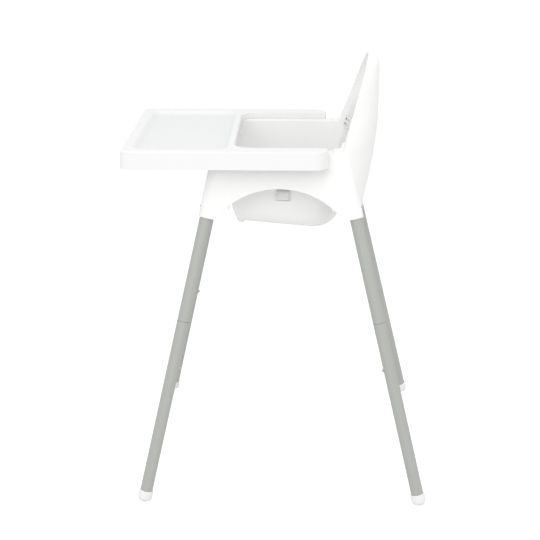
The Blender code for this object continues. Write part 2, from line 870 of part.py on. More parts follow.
def make_tray():
    top = TRAY_TOP_Z
    edge = 0.003
    loops = [
        level(tray_outline(TRAY_DRAFT), TRAY_SKIRT_Z),
        level(tray_outline(0.0), top - edge),
        level(tray_outline(-edge * 0.3), top - edge * 0.3),
        level(tray_outline(-edge), top),
    ]
    tray = loft("tray", loops, TRAY_PLASTIC)
    under = loft(
        "tray_underside",
        [
            level(tray_outline(TRAY_DRAFT - TRAY_WALL), TRAY_SKIRT_Z - 0.01),
            level(tray_outline(-TRAY_WALL), top - TRAY_WALL),
        ],
    )
    floor = loft(
        "play_floor",
        [
            level(play_outline(TRAY_WALL), PLAY_FLOOR_Z - 0.0023),
            level(play_outline(PLAY_SLOPE + TRAY_WALL), top + 0.01),
        ],
    )
    cut(under, floor)
    play = loft(
        "play_hollow",
        [
            level(play_outline(0.0), PLAY_FLOOR_Z),
            level(play_outline(PLAY_SLOPE), top),
            level(play_outline(PLAY_SLOPE * 1.6), top + 0.01),
        ],
    )
    clearance = make_rim_clearance()
    cut(tray, under, play, clearance)


# ---------------------------------------------------------------- harness


def make_shoulder_strap(side):
    x = SIDES[side]
    points = [
        Vector((x * 0.068, 0.1815, 0.790)),
        Vector((x * 0.0675, 0.1690, 0.7885)),
        Vector((x * 0.066, 0.1570, 0.772)),
        Vector((x * 0.064, 0.1470, 0.738)),
        Vector((x * 0.061, 0.1370, 0.705)),
        Vector((x * 0.057, 0.1200, 0.650)),
        Vector((x * 0.052, 0.0950, 0.603)),
        Vector((x * 0.046, 0.0600, 0.578)),
        Vector((x * 0.041, 0.0330, 0.5725)),
    ]
    across = Vector((1.0, -x * 0.32, 0.0))
    ribbon(
        f"shoulder_strap_{side}",
        smooth_path(points),
        across,
        WEBBING_WIDTH,
        WEBBING_THICKNESS,
        WEBBING,
    )


def make_waist_strap(side):
    """Out through the upper slot of the tub's side, down outside it, and in again by the lower slot."""
    x = SIDES[side]
    outside = x * 0.1345
    points = [
        Vector((x * 0.118, WAIST_SLOT_Y, WAIST_SLOTS_Z[1])),
        Vector((x * 0.1305, WAIST_SLOT_Y, WAIST_SLOTS_Z[1])),
        Vector((outside, WAIST_SLOT_Y, WAIST_SLOTS_Z[1] - 0.004)),
        Vector((outside - x * 0.0012, WAIST_SLOT_Y, WAIST_SLOTS_Z[0] + 0.004)),
        Vector((x * 0.1295, WAIST_SLOT_Y, WAIST_SLOTS_Z[0])),
        Vector((x * 0.1160, WAIST_SLOT_Y, WAIST_SLOTS_Z[0])),
        Vector((x * 0.1110, WAIST_SLOT_Y, 0.601)),
        Vector((x * 0.1050, WAIST_SLOT_Y, 0.587)),
        Vector((x * 0.0950, WAIST_SLOT_Y, 0.575)),
        Vector((x * 0.0780, 0.008, 0.5660)),
        Vector((x * 0.0560, 0.005, 0.5650)),
        Vector((x * 0.0390, 0.004, 0.5650)),
    ]
    across = Vector((0.0, 1.0, 0.0))
    ribbon(
        f"waist_strap_{side}",
        smooth_path(points, 3),
        across,
        WEBBING_WIDTH,
        WEBBING_THICKNESS,
        WEBBING,
    )


def make_crotch_strap():
    points = [
        Vector((0.0, CROTCH_SLOT_Y, 0.5495)),
        Vector((0.0, CROTCH_SLOT_Y, 0.562)),
        Vector((0.0, CROTCH_SLOT_Y + 0.007, 0.5680)),
        Vector((0.0, BUCKLE_CENTRE.y - BUCKLE_SIZE.y / 2 - 0.0008, BUCKLE_CENTRE.z)),
    ]
    across = Vector((1.0, 0.0, 0.0))
    ribbon("crotch_strap", smooth_path(points), across, WEBBING_WIDTH, WEBBING_THICKNESS, WEBBING)


def make_slider(side):
    """A ladder slider: a plate with two windows, which the webbing weaves through."""
    x = SIDES[side]
    centre = Vector((x * 0.0638, 0.1462, 0.7355))
    ahead = (Vector((x * 0.061, 0.1370, 0.705)) - Vector((x * 0.066, 0.1570, 0.772))).normalized()
    across = Vector((1.0, -x * 0.32, 0.0)).normalized()
    normal = ahead.cross(across).normalized()
    across = normal.cross(ahead)
    turn = Matrix((across, ahead, normal)).transposed().to_quaternion()
    slider = block(
        f"shoulder_slider_{side}", (0.034, 0.024, 0.0068), centre, turn, SLIDER_PLASTIC, bevel=0.0008
    )
    window = block(f"slider_window_{side}", (0.0268, 0.05, 0.0030), centre, turn)
    cut(slider, window)


def make_buckle():
    size = BUCKLE_SIZE
    housing = block("buckle_housing", size, BUCKLE_CENTRE, None, BUCKLE_PLASTIC, bevel=0.0025)
    sides = block(
        "tongue_slots", (size.x + 0.01, 0.0205, 0.0046), BUCKLE_CENTRE - Vector((0.0, 0.0, 0.0015))
    )
    core = block("buckle_core", (0.010, 0.03, 0.01), BUCKLE_CENTRE)
    cut(sides, core)
    well = turned(
        "button_well",
        [(0.0, 0.02), (0.0086, 0.02), (0.0086, 0.0025), (0.0, 0.0025)],
        steps=24,
    )
    well.location = BUCKLE_CENTRE
    cut(housing, sides, well)
    button = turned(
        "buckle_button",
        [
            (0.0, 0.0098),
            (0.0062, 0.0095),
            (0.0078, 0.0086),
            (0.0083, 0.0074),
            (0.0083, 0.0060),
            (0.0, 0.0060),
        ],
        steps=24,
        material=BUTTON_PLASTIC,
    )
    button.location = BUCKLE_CENTRE


def make_tongue(side):
    """A flat tongue latched in the housing, with a loop outside it for the waist webbing."""
    x = SIDES[side]
    z = BUCKLE_CENTRE.z - 0.0015
    y = BUCKLE_CENTRE.y
    blade = block(
        f"buckle_tongue_{side}",
        (0.0285, 0.0195, 0.0036),
        Vector((x * (0.0058 + 0.01425), y, z)),
        None,
        BUCKLE_PLASTIC,
        bevel=0.0006,
    )
    head = block(f"tongue_head_{side}", (0.0120, 0.0330, 0.0050), Vector((x * 0.0310, y, z)))
    join(blade, head)


# ---------------------------------------------------------------- assembly

clear_scene()
PARTS = new_collection("baby_high_chair")
CUTTERS = new_collection("cutters")
SHELL_PLASTIC = new_material("seat_plastic", (0.90, 0.90, 0.89), 0.32)
TRAY_PLASTIC = new_material("tray_plastic", (0.90, 0.90, 0.90), 0.30)
STEEL = new_material("leg_powder_coat", (0.50, 0.51, 0.49), 0.42, 0.3)
GLIDE_PLASTIC = new_material("glide_plastic", (0.88, 0.88, 0.88), 0.45)
BUTTON_STEEL = new_material("button_steel", (0.60, 0.60, 0.60), 0.25, 1.0)
SPRING_STEEL = new_material("spring_steel", (0.45, 0.45, 0.46), 0.30, 1.0)
WEBBING = new_material("webbing", (0.86, 0.86, 0.85), 0.85)
SLIDER_PLASTIC = new_material("slider_plastic", (0.90, 0.90, 0.90), 0.15)
BUCKLE_PLASTIC = new_material("buckle_plastic", (0.88, 0.88, 0.88), 0.25)
BUTTON_PLASTIC = new_material("button_plastic", (0.70, 0.70, 0.70), 0.30)

make_seat_shell()
make_tray()
for end_name in ENDS:
    for side_name in SIDES:
        make_upper_leg(side_name, end_name)
        make_lower_leg(side_name, end_name)
        make_foot_glide(side_name, end_name)
        make_leg_fasteners(side_name, end_name)
for side_name in SIDES:
    make_shoulder_strap(side_name)
    make_waist_strap(side_name)
    make_slider(side_name)
    make_tongue(side_name)
make_crotch_strap()
make_buckle()
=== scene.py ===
"""Looks of the baby high chair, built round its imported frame.

Metres, +Z up. The child faces -Y and the child's left hand is on +X.
"""

from math import asin, atan2, cos, pi, radians, sin, sqrt, tan

import bmesh
import bpy
import numpy as np
from mathutils import Matrix, Vector


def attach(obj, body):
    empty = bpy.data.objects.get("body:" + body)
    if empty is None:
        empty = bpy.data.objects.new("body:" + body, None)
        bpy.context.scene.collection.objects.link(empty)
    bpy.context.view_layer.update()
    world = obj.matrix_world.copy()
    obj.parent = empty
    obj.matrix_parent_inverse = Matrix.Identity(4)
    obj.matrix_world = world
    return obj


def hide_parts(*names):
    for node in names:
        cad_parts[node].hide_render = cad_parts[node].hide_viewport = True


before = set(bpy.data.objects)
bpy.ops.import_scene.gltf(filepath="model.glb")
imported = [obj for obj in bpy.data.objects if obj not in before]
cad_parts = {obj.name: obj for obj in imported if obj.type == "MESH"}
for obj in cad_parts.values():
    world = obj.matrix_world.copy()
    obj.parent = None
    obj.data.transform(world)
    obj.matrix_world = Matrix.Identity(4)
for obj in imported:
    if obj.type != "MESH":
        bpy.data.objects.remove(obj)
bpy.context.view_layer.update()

# --- camera


def new_object(name, data):
    obj = bpy.data.objects.new(name, data)
    bpy.context.scene.collection.objects.link(obj)
    return obj


def make_camera():
    """A long lens from the chair's left, a little above the tray."""
    pitch, yaw, roll = 0.3475, 0.0325, -0.0022
    level_ahead = Vector((-cos(yaw), -sin(yaw), 0.0))
    right = Vector((-sin(yaw), cos(yaw), 0.0))
    ahead = level_ahead * cos(pitch) - Vector((0.0, 0.0, sin(pitch)))
    up = right.cross(ahead)
    data = bpy.data.cameras.new("camera")
    data.lens = 79.6
    data.sensor_width = 36.0
    camera = new_object("camera", data)
    turn = Matrix((right, up, -ahead)).transposed().to_4x4() @ Matrix.Rotation(roll, 4, "Z")
    camera.matrix_world = Matrix.Translation((2.474, 0.059, 1.314)) @ turn
    bpy.context.scene.camera = camera


make_camera()

# --- sizes

SIDES = {"left": 1.0, "right": -1.0}
ENDS = {"front": -1.0, "rear": 1.0}
LEGS = [(end, side) for end in ENDS for side in SIDES]

FOOT_X = 0.276
FOOT_Y = {"front": -0.279, "rear": 0.300}
MOUTH_X = 0.165
MOUTH_Y = {"front": -0.1455, "rear": 0.1580}
MOUTH_Z = 0.590
LEG_RADIUS = 0.0127
LEG_WALL = 0.0013
LEG_TOP_Z = 0.678
LEG_JOINT_Z = 0.379
SPIGOT_LENGTH = 0.140
SPIGOT_GAP = 0.0004
GLIDE_RADIUS = 0.0148
GLIDE_HEIGHT = 0.021

SOCKET_RADIUS = 0.0158
SOCKET_BORE = 0.0131
SOCKET_TOP_Z = 0.700
SOCKET_BUTTON_Z = 0.610
SOCKET_BUTTON_PROUD = 0.0012
JOINT_BUTTON_Z = 0.283
JOINT_BUTTON_PROUD = 0.0036
BUTTON_RADIUS = 0.0032
BUTTON_HOLE = 0.0036
BUTTON_SHOULDER = 0.0050
BUTTON_HEAD = 0.0016
BUTTON_DOME = 0.0016
BUTTON_CLEARANCE = 0.0004

WALL = 0.0032
RIM_Z = 0.7215
BACK_TOP_Z = 0.900
HOLLOW_TOP_Z = 0.866
WING_Z = 0.740
WING_Y = 0.135
WING_SLOPE = 0.30
SEAT_FLOOR_Z = 0.5635
SEAT_FALL = 0.088
SEAT_FILLET = 0.036
TUB_HALF_LOW = 0.117
TUB_HALF_RIM = 0.140
TUB_SHOULDER_Y = 0.060
TUB_POWER = 2.4
BACK_HALF = 0.1335
TUB_FRONT_Y = -0.112
CROSSBAR_Z = 0.690
LIP_LOW = Vector((0.0, -0.084, 0.562))
LIP_HIGH = Vector((0.0, -0.120, 0.700))
LIP_LEAN = atan2(LIP_LOW.y - LIP_HIGH.y, LIP_HIGH.z - LIP_LOW.z)
LIP_TURN = Matrix.Rotation(LIP_LEAN, 3, "X").to_quaternion()
LIP_AHEAD = LIP_TURN @ Vector((0.0, -1.0, 0.0))
BEAD_WIDTH = 0.010
BEAD_PROUD = 0.0042
WING_FILLET = 0.010
FLARE_HEIGHT = 0.085
FLARE_LEAN = 0.4
RAISED_RIM_Y = 0.111
RAISED_RIM = 0.0035
SHELL_VOXEL = 0.0013
GUSSET_Y = {"front": -0.100, "rear": 0.110}

TRAY_HALF = 0.200
TRAY_FRONT_Y = -0.3110
TRAY_END_Y = 0.100
TRAY_TOP_Z = 0.735
TRAY_SKIRT_Z = 0.698
TRAY_DRAFT = 0.0015
TRAY_WALL = 0.0028
TRAY_OPENING_HALF = 0.162
TRAY_OPENING_Y = -0.088
PLAY_FLOOR_Z = 0.7245
PLAY_HALF = 0.171
PLAY_FRONT_Y = -0.284
PLAY_REAR_Y = -0.107
PLAY_SLOPE = 0.007

WEBBING_WIDTH = 0.025
WEBBING_THICKNESS = 0.0014
SHOULDER_TWIST = 0.32
STITCH = (0.00085, 0.00030, 0.00024)
SHOULDER_SLOT = Vector((0.069, 0.178, 0.790))
WAIST_SLOT_Y = 0.010
WAIST_SLOTS_Z = (0.617, 0.638)
CROTCH_SLOT_Y = -0.052
SLOT_LENGTH = 0.031
SLOT_HEIGHT = 0.0045
SLIDER_THICKNESS = 0.0068
BUCKLE_CENTRE = Vector((0.0, 0.004, 0.5665))
BUCKLE_SIZE = Vector((0.048, 0.036, 0.017))

# --- materials

MIX_COLOUR_A, MIX_COLOUR_B, MIX_COLOUR_RESULT = 6, 7, 2  # the Mix node's colour sockets
GRAIN = 2600.0
ORANGE_PEEL = 60.0


class Surface:
    """A Principled material, with short ways to add noise-driven colour, roughness and bump."""

    def __init__(self, name, colour, roughness, metallic=0.0, specular=0.5):
        self.material = bpy.data.materials.new(name)
        self.material.use_nodes = True
        self.tree = self.material.node_tree
        self.shader = self.tree.nodes["Principled BSDF"]
        self.colour = colour
        self.shader.inputs["Base Color"].default_value = (*colour, 1.0)
        self.shader.inputs["Roughness"].default_value = roughness
        self.shader.inputs["Metallic"].default_value = metallic
        self.shader.inputs["Specular IOR Level"].default_value = specular
        self.place = self.node("ShaderNodeTexCoord").outputs["Object"]
        self.normal = None

    def node(self, kind, **inputs):
        made = self.tree.nodes.new(kind)
        for key, value in inputs.items():
            made.inputs[key.replace("_", " ")].default_value = value
        return made

    def link(self, output, target):
        self.tree.links.new(output, target)

    def noise(self, scale, detail=3.0, stretch=None):
        made = self.node("ShaderNodeTexNoise", Scale=scale, Detail=detail)
        source = self.place
        if stretch is not None:
            mapping = self.node("ShaderNodeMapping", Scale=stretch)
            self.link(source, mapping.inputs["Vector"])
            source = mapping.outputs["Vector"]
        self.link(source, made.inputs["Vector"])
        return made.outputs["Fac"]

    def ramp(self, factor, low=0.0, high=1.0, start=0.3, end=0.7):
        """A number that goes from low to high as the factor goes from start to end."""
        span = {"From_Min": start, "From_Max": end, "To_Min": low, "To_Max": high}
        made = self.node("ShaderNodeMapRange", **span)
        self.link(factor, made.inputs["Value"])
        return made.outputs["Result"]

    def vary_roughness(self, scale, low, high, stretch=None):
        factor = self.noise(scale, stretch=stretch)
        self.link(self.ramp(factor, low, high), self.shader.inputs["Roughness"])

    def vary_colour(self, factor, other):
        mix = self.node("ShaderNodeMix")
        mix.data_type = "RGBA"
        mix.inputs[MIX_COLOUR_A].default_value = (*self.colour, 1.0)
        mix.inputs[MIX_COLOUR_B].default_value = (*other, 1.0)
        self.link(factor, mix.inputs["Factor"])
        self.link(mix.outputs[MIX_COLOUR_RESULT], self.shader.inputs["Base Color"])

    def bump(self, height, strength, distance):
        made = self.node("ShaderNodeBump", Strength=strength, Distance=distance)
        self.link(height, made.inputs["Height"])
        if self.normal is not None:
            self.link(self.normal, made.inputs["Normal"])
        self.normal = made.outputs["Normal"]
        self.link(self.normal, self.shader.inputs["Normal"])


def add_moulded_grain(surface):
    """Two bumps that every moulding has: a faint waviness and a fine spark-eroded grain."""
    surface.bump(surface.noise(ORANGE_PEEL, 2.0), 0.05, 0.0006)
    surface.bump(surface.noise(GRAIN, 2.0), 0.10, 0.00008)


def moulded_plastic(name, colour, shade, roughness):
    """Satin plastic: moulded grain, faint flow marks and handling haze."""
    surface = Surface(name, colour, roughness, specular=0.45)
    surface.vary_roughness(38.0, roughness - 0.05, roughness + 0.06)
    surface.vary_colour(surface.ramp(surface.noise(9.0, 4.0)), shade)
    add_moulded_grain(surface)
    return surface.material


def tray_plastic():
    """The same polypropylene, with painted shade that makes the recessed play floor a darker,
    cooler grey.
    """
    surface = Surface("tray_polypropylene", (0.858, 0.862, 0.858), 0.33, specular=0.45)
    surface.vary_roughness(38.0, 0.28, 0.39)
    heights = []
    for vector in (surface.place, surface.node("ShaderNodeTexCoord").outputs["Normal"]):
        split = surface.node("ShaderNodeSeparateXYZ")
        surface.link(vector, split.inputs[0])
        heights.append(split.outputs["Z"])
    # painted shade: the play floor's low, upward-facing faces are mixed to a darker, cooler grey,
    # standing in for the shade in the tray's recess
    low = surface.ramp(heights[0], 1.0, 0.0, PLAY_FLOOR_Z + 0.002, TRAY_TOP_Z - 0.003)
    upward = surface.ramp(heights[1], end=0.8)
    both = surface.node("ShaderNodeMath")
    both.operation = "MULTIPLY"
    surface.link(low, both.inputs[0])
    surface.link(upward, both.inputs[1])
    surface.vary_colour(both.outputs[0], (0.812, 0.829, 0.822))
    add_moulded_grain(surface)
    return surface.material


def powder_coat():
    """Silver-grey powder coat: metal flake speckle over a fine orange peel."""
    base = (0.416, 0.428, 0.404)
    surface = Surface("powder_coat", base, 0.44, metallic=0.15)
    surface.vary_roughness(70.0, 0.38, 0.50)
    flake = surface.ramp(surface.noise(3200.0, 2.0), 0.0, 1.0, 0.35, 0.68)
    surface.vary_colour(flake, (0.475, 0.487, 0.464))
    surface.bump(surface.noise(420.0), 0.18, 0.00012)
    surface.bump(surface.noise(2600.0, 2.0), 0.14, 0.00005)
    return surface.material


def bright_steel(name, colour, roughness):
    surface = Surface(name, colour, roughness, metallic=1.0)
    surface.vary_roughness(900.0, roughness - 0.06, roughness + 0.10, stretch=(1.0, 1.0, 0.08))
    surface.vary_colour(surface.ramp(surface.noise(260.0)), tuple(c * 0.86 for c in colour))
    surface.bump(surface.noise(1800.0, 2.0, stretch=(1.0, 1.0, 0.05)), 0.12, 0.00004)
    return surface.material


def webbing_fabric():
    """White polyester webbing: fibre noise on yarns that are geometry, greyer in random patches."""
    surface = Surface("webbing_fabric", (0.86, 0.86, 0.85), 0.82, specular=0.25)
    surface.shader.inputs["Sheen Weight"].default_value = 0.25
    surface.shader.inputs["Sheen Roughness"].default_value = 0.5
    surface.vary_roughness(600.0, 0.74, 0.90)
    surface.vary_colour(surface.ramp(surface.noise(1500.0)), (0.74, 0.74, 0.73))
    surface.bump(surface.noise(5200.0, 2.0), 0.35, 0.00012)
    return surface.material


def thread():
    surface = Surface("stitching_thread", (0.74, 0.74, 0.73), 0.65)
    surface.vary_roughness(900.0, 0.55, 0.75)
    surface.vary_colour(surface.ramp(surface.noise(2200.0)), (0.60, 0.60, 0.59))
    surface.bump(surface.noise(6000.0, 2.0), 0.3, 0.00008)
    return surface.material


SEAT_PLASTIC = moulded_plastic(
    "seat_polypropylene", (0.932, 0.931, 0.921), (0.920, 0.920, 0.910), 0.36
)
TRAY_PLASTIC = tray_plastic()
GLIDE_PLASTIC = moulded_plastic("glide_polyethylene", (0.89, 0.89, 0.88), (0.86, 0.86, 0.85), 0.46)
BUCKLE_PLASTIC = moulded_plastic("buckle_acetal", (0.79, 0.79, 0.785), (0.77, 0.77, 0.765), 0.22)
SLIDER_PLASTIC = moulded_plastic("slider_acetal", (0.79, 0.80, 0.80), (0.77, 0.78, 0.78), 0.16)
BUTTON_PLASTIC = moulded_plastic("button_acetal", (0.55, 0.56, 0.56), (0.52, 0.53, 0.53), 0.30)
POWDER_COAT = powder_coat()
BUTTON_STEEL = bright_steel("button_zinc_steel", (0.56, 0.53, 0.50), 0.26)
SPRING_STEEL = bright_steel("spring_bright_steel", (0.50, 0.50, 0.51), 0.30)
WEBBING = webbing_fabric()
THREAD = thread()

# --- mesh tools


def shape_object(name, shape):
    mesh = bpy.data.meshes.new(name)
    shape.to_mesh(mesh)
    shape.free()
    return new_object(name, mesh)


def discard(obj):
    mesh = obj.data
    bpy.data.objects.remove(obj)
    bpy.data.meshes.remove(mesh)


def apply_modifiers(obj):
    graph = bpy.context.evaluated_depsgraph_get()
    graph.update()
    old = obj.data
    obj.data = bpy.data.meshes.new_from_object(obj.evaluated_get(graph), depsgraph=graph)
    obj.modifiers.clear()
    obj.data.name = obj.name
    bpy.data.meshes.remove(old)


def combine(obj, operation, others):
    for other in others:
        modifier = obj.modifiers.new(other.name, "BOOLEAN")
        modifier.operation = operation
        modifier.object = other
        modifier.solver = "MANIFOLD"
    apply_modifiers(obj)
    for other in others:
        discard(other)
    return obj


def cut(obj, *others):
    return combine(obj, "DIFFERENCE", others)


def join(obj, *others):
    return combine(obj, "UNION", others)


def keep_within(obj, *others):
    return combine(obj, "INTERSECT", others)


def modify(obj, kind, **settings):
    modifier = obj.modifiers.new(kind.lower(), kind)
    for key, value in settings.items():
        setattr(modifier, key, value)
    apply_modifiers(obj)
    return obj


def relax(mesh, rounds, pull=0.52, push=-0.54):
    """Taubin smoothing: rounds sharp edges a little and keeps the volume."""
    edges = np.empty(len(mesh.edges) * 2, np.int64)
    mesh.edges.foreach_get("vertices", edges)
    edges = edges.reshape(-1, 2)
    count = len(mesh.vertices)
    points = np.empty(count * 3)
    mesh.vertices.foreach_get("co", points)
    points = points.reshape(-1, 3)
    degree = np.bincount(edges.ravel(), minlength=count).astype(float)[:, None]
    for _ in range(rounds):
        for amount in (pull, push):
            total = np.zeros_like(points)
            for axis in range(3):
                total[:, axis] += np.bincount(edges[:, 0], points[edges[:, 1], axis], count)
                total[:, axis] += np.bincount(edges[:, 1], points[edges[:, 0], axis], count)
            points += amount * (total / np.maximum(degree, 1.0) - points)
    mesh.vertices.foreach_set("co", points.ravel())
    mesh.update()


def finish_piece(obj, material, slot, *nodes, body="chair", sharp=40):
    """Shades the piece and puts it on its body, with its material, in place of its CAD nodes."""
    mesh = obj.data
    mesh.materials.clear()
    mesh.materials.append(material)
    mesh.shade_smooth()
    if sharp is not None:
        mesh.set_sharp_from_angle(angle=radians(sharp))
        modifier = obj.modifiers.new("weighted normals", "WEIGHTED_NORMAL")
        modifier.keep_sharp = True
        modifier.weight = 100
    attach(obj, body)
    if nodes:
        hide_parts(*nodes)


# --- shapes


def rounded_outline(corners, steps=12):
    """A closed outline through (x, y, radius) corners, each rounded by an arc."""
    points = []
    count = len(corners)
    for index, (x, y, radius) in enumerate(corners):
        corner = Vector((x, y))
        before = (Vector(corners[index - 1][:2]) - corner).normalized()
        after = (Vector(corners[(index + 1) % count][:2]) - corner).normalized()
        if radius <= 0.0:
            points.append(corner)
            continue
        half_angle = before.angle(after) / 2
        bisector = (before + after).normalized()
        centre = corner + bisector * (radius / sin(half_angle))
        first = corner + before * (radius / tan(half_angle)) - centre
        turn = pi - 2 * half_angle
        clockwise = before.cross(after) > 0
        for part in range(steps + 1):
            angle = turn * part / steps * (-1 if clockwise else 1)
            points.append(centre + Matrix.Rotation(angle, 2) @ first)
    return points


def rounded_rectangle(half, front, rear, corner, steps=12):
    right = [(half, front, corner), (half, rear, corner)]
    left = [(-half, rear, corner), (-half, front, corner)]
    return rounded_outline(right + left, steps)


def both_halves(points):
    """A closed outline from its right half, whose ends lie on the middle line."""
    return points + [type(p)((-p[0], *p[1:])) for p in reversed(points[1:-1])]


def quarter(steps):
    """(sine, 1 - cosine) along a quarter turn."""
    angles = [part / steps * pi / 2 for part in range(steps + 1)]
    return [(sin(angle), 1 - cos(angle)) for angle in angles]


def loft(name, loops):
    """A solid through loops of equally many points."""
    shape = bmesh.new()
    rings = [[shape.verts.new(point) for point in loop] for loop in loops]
    count = len(rings[0])
    for low, high in zip(rings, rings[1:]):
        for index in range(count):
            after = (index + 1) % count
            shape.faces.new((low[index], low[after], high[after], high[index]))
    shape.faces.new(rings[0][::-1])
    shape.faces.new(rings[-1])
    bmesh.ops.recalc_face_normals(shape, faces=shape.faces)
    return shape_object(name, shape)


def level(outline, z):
    return [(*point[:2], z) for point in outline]


def stack(name, *layers):
    """A solid through (outline, height) layers."""
    return loft(name, [level(*layer) for layer in layers])


def prism(name, outline, low, high, axes):
    """An outline across two axes, drawn out along the third."""
    order = [*axes, 3 - sum(axes)]
    loops = []
    for distance in (low, high):
        loop = [dict(zip(order, (*point, distance))) for point in outline]
        loops.append([[place[axis] for axis in range(3)] for place in loop])
    return loft(name, loops)


def block(name, size, centre, rotation=None):
    shape = bmesh.new()
    bmesh.ops.create_cube(shape, size=1.0)
    bmesh.ops.scale(shape, vec=size, verts=shape.verts)
    turn = Matrix.Identity(4) if rotation is None else rotation.to_matrix().to_4x4()
    bmesh.ops.transform(shape, matrix=Matrix.Translation(centre) @ turn, verts=shape.verts)
    return shape_object(name, shape)


def aimed(place, direction):
    turn = direction.to_track_quat("Z", "Y").to_matrix().to_4x4()
    return Matrix.Translation(place) @ turn


def turned(name, profile, place=Vector(), direction=Vector((0, 0, 1)), steps=64):
    """A profile of (radius, height) points turned about an axis through a place."""
    shape = bmesh.new()
    rings = []
    for radius, height in profile:
        if radius <= 0.0:
            rings.append([shape.verts.new((0.0, 0.0, height))])
            continue
        angles = [2 * pi * part / steps for part in range(steps)]
        rings.append([shape.verts.new((radius * cos(a), radius * sin(a), height)) for a in angles])
    on_axis = len(rings[0]) == 1 and len(rings[-1]) == 1
    pairs = list(zip(rings, rings[1:]))
    if not on_axis:
        pairs.append((rings[-1], rings[0]))
    for first, second in pairs:
        for index in range(steps):
            after = (index + 1) % steps
            corners = [first[index % len(first)], first[after % len(first)]]
            corners += [second[after % len(second)], second[index % len(second)]]
            unique = list(dict.fromkeys(corners))
            if len(unique) > 2:
                shape.faces.new(unique)
    bmesh.ops.recalc_face_normals(shape, faces=shape.faces)
    bmesh.ops.transform(shape, matrix=aimed(place, direction), verts=shape.verts)
    return shape_object(name, shape)


def smooth_path(points, per_span=8):
    """A Catmull-Rom curve through given points."""
    padded = [points[0] * 2 - points[1], *points, points[-1] * 2 - points[-2]]
    path = []
    for first, second, third, fourth in zip(padded, padded[1:], padded[2:], padded[3:]):
        for part in range(per_span):
            t = part / per_span
            bend = (2 * first - 5 * second + 4 * third - fourth) * t**2
            swing = (3 * second - first - 3 * third + fourth) * t**3
            path.append(0.5 * (2 * second + (third - first) * t + bend + swing))
    path.append(points[-1])
    return path


# --- legs


def leg_point(leg, z):
    end, side = leg
    foot = Vector((SIDES[side] * FOOT_X, FOOT_Y[end], 0.0))
    mouth = Vector((SIDES[side] * MOUTH_X, MOUTH_Y[end], MOUTH_Z))
    return foot.lerp(mouth, z / MOUTH_Z)


def leg_direction(leg):
    return (leg_point(leg, 1.0) - leg_point(leg, 0.0)).normalized()


def turned_on_leg(name, profile, leg, z, steps=64):
    """A profile turned about a leg's axis, from the axis' point at one height."""
    return turned(name, profile, leg_point(leg, z), leg_direction(leg), steps)


def leg_along(leg, z_low, z_high):
    return (leg_point(leg, z_high) - leg_point(leg, z_low)).length


def button_direction(leg):
    axis = leg_direction(leg)
    facing = Vector((0.0, ENDS[leg[0]], 0.0))
    return (facing - axis * facing.dot(axis)).normalized()


def near_hole(radius, height, reach=0.008):
    """Two rings of a tube's wall round a hole, which keep the hole's facets close to it."""
    return [(radius, height + reach), (radius, height - reach)]


def button_hole(leg, z, way=1):
    """A hole through one wall of a leg, facing outward, or inward with way = -1."""
    profile = [(0.0, 0.03), (BUTTON_HOLE, 0.03), (BUTTON_HOLE, 0.0), (0.0, 0.0)]
    facing = button_direction(leg) * way
    return turned("button_hole", profile, leg_point(leg, z), facing, steps=32)


def make_upper_leg(leg):
    length = leg_along(leg, LEG_JOINT_Z, LEG_TOP_Z)
    button = leg_along(leg, LEG_JOINT_Z, SOCKET_BUTTON_Z)
    joint = -leg_along(leg, JOINT_BUTTON_Z, LEG_JOINT_Z)
    inner = LEG_RADIUS - LEG_WALL
    spigot = inner - SPIGOT_GAP
    bore = spigot - LEG_WALL
    edge = 0.0005
    profile = [(inner, length), (LEG_RADIUS - edge, length), (LEG_RADIUS, length - edge)]
    profile += near_hole(LEG_RADIUS, button)
    profile += [(LEG_RADIUS, 0.0008), (LEG_RADIUS - 0.0001, 0.0003), (LEG_RADIUS - 0.0003, 0.0001)]
    profile += [(spigot + 0.0002, 0.0), (spigot, -0.0006)]
    profile += near_hole(spigot, joint)
    profile += [(spigot, 0.003 - SPIGOT_LENGTH), (spigot - 0.001, -SPIGOT_LENGTH)]
    profile += [(bore, -SPIGOT_LENGTH)] + near_hole(bore, joint)[::-1]
    profile += [(bore, 0.002), (inner, 0.006)] + near_hole(inner, button)[::-1]
    tail = "_".join(leg)
    tube = turned_on_leg(f"upper_leg_tube_{tail}", profile, leg, LEG_JOINT_Z)
    cut(tube, button_hole(leg, SOCKET_BUTTON_Z), button_hole(leg, JOINT_BUTTON_Z, -1))
    finish_piece(tube, POWDER_COAT, "leg_powder_coat", f"upper_leg_{tail}")


def make_lower_leg(leg):
    length = leg_along(leg, GLIDE_HEIGHT, LEG_JOINT_Z) - SPIGOT_GAP
    button = leg_along(leg, GLIDE_HEIGHT, JOINT_BUTTON_Z)
    inner = LEG_RADIUS - LEG_WALL
    edge = 0.0002
    profile = [(inner, length - edge), (inner + edge, length), (LEG_RADIUS - edge, length)]
    profile += [(LEG_RADIUS, length - edge)] + near_hole(LEG_RADIUS, button)
    profile += [(LEG_RADIUS, edge), (LEG_RADIUS - edge, 0.0), (inner, 0.0)]
    profile += near_hole(inner, button)[::-1]
    tail = "_".join(leg)
    tube = turned_on_leg(f"lower_leg_tube_{tail}", profile, leg, GLIDE_HEIGHT)
    cut(tube, button_hole(leg, JOINT_BUTTON_Z, -1))
    finish_piece(tube, POWDER_COAT, "leg_powder_coat", f"lower_leg_{tail}")


